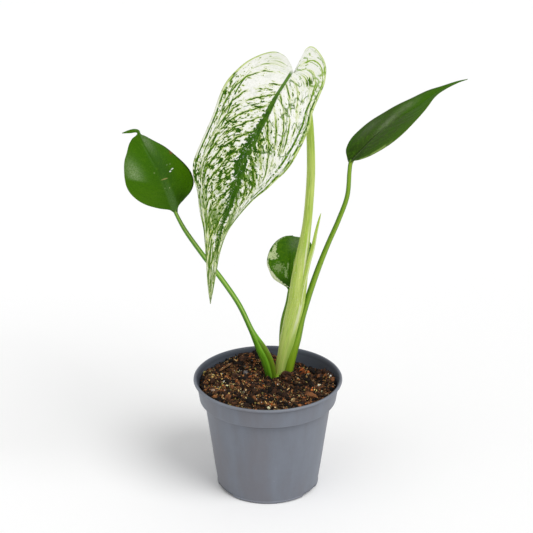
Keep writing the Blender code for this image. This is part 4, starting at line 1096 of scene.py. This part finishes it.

# The cream ground, greyed behind the base as painted shade on the lobes, and tinted in the striped tip,
# beside the veins and at the rim.
tip = a.ramp(10.4, 13.4)
strands = leaf.noise(leaf.spot(v * 6 + is_left * 11.3, a * 0.6), 1.0, 3, 0.6)
dull = along_veins(3.4, 0.5, 3, 11.0).ramp(0.48, 0.56) * (
    leaf.oval(x, a, 0.9, 7.4, 0.8, 4.0) + leaf.oval(x, a, -1.0, 12.0, 1.2, 2.0)).least(1)
rim = v.ramp(0.935, 0.975) * (0.8 - is_left * a.ramp(3.0, 5.5) * 0.6)
leaf.base(fine.ramp(0.3, 0.7), (0.77, 0.77, 0.71), (0.87, 0.87, 0.83))
# Painted shade: the lobes behind the base are greyed, as they turn away from the light.
leaf.lay(a.ramp(2.0, -1.0) * 0.35, (0.58, 0.60, 0.52))
leaf.lay(tip * strands.ramp(0.40, 0.46) * 0.75, (0.50, 0.60, 0.15))
leaf.lay(dull * 0.7, (0.24, 0.32, 0.15))
leaf.lay(q.line(0.72, pace * 0.13) * broken.ramp(0.38, 0.48) * apart * 0.45, (0.55, 0.63, 0.15))
leaf.lay(halo * 0.8, (0.42, 0.54, 0.04))
leaf.lay(rim, (0.44, 0.56, 0.10))

# The veins' green, the tip's stripes, and the deep green of the blotches and the streak.
vein_tone = leaf.mix(leaf.noise(sheet, 3.0, 3).ramp(0.40, 0.60), (0.038, 0.112, 0.001), (0.126, 0.250, 0.004))
leaf.lay(lines, leaf.mix(a.ramp(1.5, -1.0) * 0.6, vein_tone, (0.26, 0.42, 0.04)))
leaf.lay(strands.ramp(0.48, 0.51) * tip * 0.9, (0.056, 0.150, 0.003))
inner = leaf.noise(leaf.spot(x * 8, a * 0.7), 1.0, 3, 0.6)
deep = leaf.mix(leaf.noise(sheet, 2.2, 3).ramp(0.35, 0.65), (0.016, 0.066, 0.001), (0.044, 0.122, 0.001))
deep = leaf.mix(a.ramp(4.5, 7.5) * streak * 0.45, deep, (0.020, 0.078, 0.002))
deep = leaf.mix(inner.ramp(0.50, 0.60) * streak * 0.4, deep, (0.100, 0.200, 0.025))
deep = leaf.mix(a.ramp(4.0, 0.5) * streak * 0.6, deep, (0.11, 0.23, 0.02))
leaf.lay(solid, deep)
main_blade.data.materials.append(leaf.finish(
    (1 - main_veins) * 0.7 + fine * 0.3, 0.00018, roughness=0.46 - solid.most(lines) * 0.06))

# The three plain green blades: glossy skin, a few soft sheens painted in as highlights where it
# turns to the light, a pale foot to the midrib, and each blade's own scuffs, creases and pale spots.


def plain_leaf(name):
    """The skin that the green blades share: its paint, x and along in mm, margin share and fine noises."""
    paint = Paint(name, Roughness=0.30, Specular_IOR_Level=0.08)
    sheet = paint.map("sheet")
    x, a = paint.part(sheet, "X") * 10, paint.part(sheet, "Y") * 10
    return paint, x, a, paint.field("outward"), paint.part(paint.map("veins"), "X") * 10, sheet


def finish_leaf(paint, plain, sheet, vein, sheen):
    """Fine flecks, faint side veins and a cellular bump over that blade's own colour."""
    fleck = paint.noise(paint.stretch(paint.map("veins"), (5, 3, 1)), 1.0, 3, 0.6)
    speck = paint.noise(sheet, 12.0, 3, 0.65)
    cells = paint.cells(sheet, 16)
    paint.lay(vein.line(6, 0.35) * 0.10, (0.020, 0.060, 0.004))
    paint.lay((fleck - 0.5).ramp(0.0, 0.2) * 0.35, (0.085, 0.190, 0.006))
    paint.lay((speck - 0.5).ramp(0.0, -0.2) * 0.60, (0.012, 0.050, 0.001))
    plain.data.materials.append(paint.finish(
        cells * 0.5 + fleck, 0.00012, roughness=0.30 + (fleck - 0.5) * 0.15, coat=sheen * 0.30))


def mottled(sheen, paint, sheet, grains):
    """A soft mark broken into lighter and darker flecks: the painted sheens, and the pale foot of the left
    blade.
    """
    return sheen * (paint.noise(sheet, grains, 3, 0.65).ramp(0.36, 0.64) * 0.75 + 0.45).least(1)


paint, x, a, v, vein, sheet = plain_leaf("Left leaf")
paint.base(paint.oval(x, a, 0, 32, 13, 22), (0.048, 0.145, 0.001), (0.040, 0.128, 0.002))
paint.lay(paint.oval(x, a, -17, 14, 12, 13), (0.056, 0.155, 0.001))
paint.lay(paint.oval(x, a, -5, 53, 4, 9) * 0.8, (0.042, 0.135, 0.001))
# Painted light: a lighter green patch on the right half, standing in for light where the blade turns away
# from the lamps.
paint.lay(paint.oval(x, a, 17, 26, 8, 11), (0.060, 0.170, 0.001))
paint.lay(paint.oval(x, a, 8, 6, 5, 6) * 0.85, (0.020, 0.062, 0.001))
paint.lay(paint.oval(x, a, 4, 36, 5, 16) * 0.5, (0.036, 0.095, 0.016))
foot = (1 - (x - 0.6) ** 2 / 16).ramp(0.0, 1.0) * a.ramp(34, 6)
paint.lay(mottled(foot, paint, sheet, 9) * 0.75, (0.105, 0.205, 0.055))
paint.lay((x ** 2).ramp(0.30, 0.05) * a.ramp(8, 20) * 0.2, (0.025, 0.080, 0.004))
# Painted highlights: a sheen on the left half and one right of the midrib towards the tip, the same places
# also given coat.
sheen = paint.oval(x, a, -17.5, 40, 5.2, 11) * (a + x * 0.83).ramp(16.5, 20.5)
sheen_high = paint.oval(x - (57 - a) * 0.12, a, 2.4, 57, 3.4, 9.0) * x.ramp(0.0, 0.9)
sheen, sheen_high = mottled(sheen, paint, sheet, 7), mottled(sheen_high, paint, sheet, 7)
paint.lay(sheen, (0.210, 0.310, 0.125))
paint.lay(sheen_high * 0.9, (0.140, 0.210, 0.090))
scuff = paint.oval(x, a, 8.0, 28.2, 1.0, 0.55).most(paint.oval(x, a, 10.2, 29.2, 1.2, 0.5))
paint.lay((scuff + (paint.noise(sheet, 14, 2) - 0.5) * 1.2).ramp(0.35, 0.6), (0.85, 0.88, 0.86))
paint.lay(paint.oval(x, a + x * 0.15, 1.4, 25.1, 3.1, 0.55).ramp(0.3, 0.7), (0.36, 0.31, 0.11))
paint.lay(paint.oval(x, a, -3.5, 32.5, 0.5, 0.5) * 0.8, (0.26, 0.34, 0.12))
nicks = paint.oval(x, a, 8, 33.6, 0.5, 0.4).most(paint.oval(x, a, 10.5, 33.2, 0.5, 0.4))
paint.lay(nicks * 0.6, (0.30, 0.36, 0.20))
specks = paint.cells(sheet, 3.4).ramp(0.20, 0.12)
speckled = ((x - 1.8) ** 2).ramp(16, 4) * a.ramp(23, 19) * a.ramp(5, 9)
paint.lay(specks * speckled * 0.8, (0.36, 0.44, 0.20))
paint.lay(v.ramp(0.935, 0.96) * x.ramp(0, 4) * 0.85, (0.022, 0.045, 0.002))
paint.lay(v.ramp(0.965, 0.99) * x.ramp(0, -4) * 0.6, (0.110, 0.210, 0.006))
paint.lay(paint.oval(x, a, 15.2, 40.2, 0.8, 1.2), (0.24, 0.05, 0.03))
finish_leaf(paint, left_blade, sheet, vein, sheen + sheen_high)

paint, x, a, v, vein, sheet = plain_leaf("Right leaf")
drawn = paint.stretch(sheet, (2.2, 0.8, 1))
haze = paint.noise(drawn, 1.5, 4, 0.6)
paint.base(a.ramp(2, 22), (0.020, 0.052, 0.001), (0.041, 0.082, 0.010))
paint.lay(haze.ramp(0.42, 0.66), (0.036, 0.100, 0.002))
paint.lay(a.ramp(48, 76), (0.045, 0.135, 0.003))
paint.lay(v.ramp(0.45, 0.92) * x.ramp(0, 4) * 0.8, (0.046, 0.125, 0.002))
paint.lay(v.ramp(0.55, 0.95) * x.ramp(0, -4) * a.ramp(34, 16) * 0.8, (0.030, 0.100, 0.002))
paint.lay(v.ramp(0.55, 0.95) * x.ramp(0, -4) * a.ramp(30, 46) * 0.6, (0.034, 0.075, 0.006))
# Painted highlights: pale sheens on the left half, along the midrib and out towards the tip, the same places
# also given coat.
sheen = mottled(paint.oval(x + (a - 42) * 0.16, a, -3.0, 42, 2.8, 13), paint, drawn, 3)
sheen_far = mottled(paint.oval(x, a, -6.4, 62, 3.2, 9), paint, drawn, 3)
sheen_high = mottled(paint.oval(x, a, -11, 29, 4.0, 12), paint, drawn, 3)
paint.lay(sheen * 0.9, (0.150, 0.200, 0.098))
paint.lay(sheen_far * 0.9, (0.120, 0.185, 0.062))
paint.lay(sheen_high * 0.8, (0.080, 0.120, 0.050))
paint.lay((x ** 2).ramp(0.60, 0.05) * a.ramp(38, 24) * 0.8, (0.014, 0.030, 0.002))
paint.lay(((x - 1.4) ** 2).ramp(0.5, 0.0) * a.ramp(34, 10) * 0.7, (0.080, 0.120, 0.045))
pale_edge = v.ramp(0.84, 0.93) * x.ramp(0, 4) * a.ramp(1, 6) * a.ramp(34, 24)
paint.lay(pale_edge * haze.ramp(0.3, 0.55) * 0.9, (0.260, 0.380, 0.090))
paint.lay(v.ramp(0.962, 0.99) * 0.6, (0.110, 0.170, 0.020))
finish_leaf(paint, right_blade, sheet, vein, sheen + sheen_high + sheen_far)

paint, x, a, v, vein, sheet = plain_leaf("Small leaf")
haze = paint.noise(sheet, 4.0, 4, 0.65)
bits = paint.noise(sheet, 7.0, 3, 0.65).ramp(0.40, 0.60) - 0.5
paint.base(haze.ramp(0.35, 0.65), (0.040, 0.140, 0.001), (0.076, 0.200, 0.002))
paint.lay(a.ramp(11, 3) * 0.8, (0.018, 0.070, 0.001))
# Painted highlight: a pale sheen on the right half near the tip, where the coat is also laid.
paint.lay(paint.oval(x, a, 4.0, 37, 5.5, 6.5) * (bits * 0.5 + 0.8), (0.150, 0.215, 0.105))
wedge = paint.oval(x, a, -15.4, 25.0, 5.4, 3.3).most(paint.oval(x, a, -13.2, 30.5, 1.7, 4.6))
paint.lay((wedge + bits * 0.42).ramp(0.40, 0.56), (0.580, 0.680, 0.350))
cloud = paint.oval(x, a, -9.0, 15.8, 5.4, 4.6).most(paint.oval(x, a, 4.2, 20.5, 2.4, 4.5))
paint.lay((cloud + bits * 0.55).ramp(0.40, 0.85) * 0.8, (0.300, 0.400, 0.160))
drip = paint.oval(x + (a - 11) * 0.15, a, -2.8, 11.5, 1.4, 4.4).most(paint.oval(x, a, -1.5, 17.5, 0.7, 3.5))
paint.lay((drip + bits * 0.5).ramp(0.40, 0.60) * 0.8, (0.360, 0.500, 0.200))
reach = (x - a + 19) / 14
fringe = paint.oval(reach, x + a - reach * reach * 2.6, 0, -4.6, 1.2, 2.5)
fringe = fringe.most(v.ramp(0.90, 0.97) * x.ramp(0, -2) * a.ramp(24, 18) * 0.9)
paint.lay((fringe + bits * 0.35).ramp(0.40, 0.54), (0.700, 0.750, 0.480))
crown_fleck = v.ramp(0.78, 0.92) * a.ramp(28, 35) * x.ramp(1.5, -1.5)
paint.lay((crown_fleck * 0.55 + bits * 0.5).ramp(0.52, 0.64) * 0.85, (0.360, 0.500, 0.210))
paint.lay((x ** 2).ramp(0.5, 0.05) * a.ramp(30, 20) * 0.5, (0.020, 0.070, 0.004))
paint.lay(v.ramp(0.965, 0.99) * a.ramp(14, 20) * 0.7, (0.050, 0.120, 0.020))
finish_leaf(paint, small_blade, sheet, vein, paint.oval(x, a, 3.5, 37, 5, 6.5))
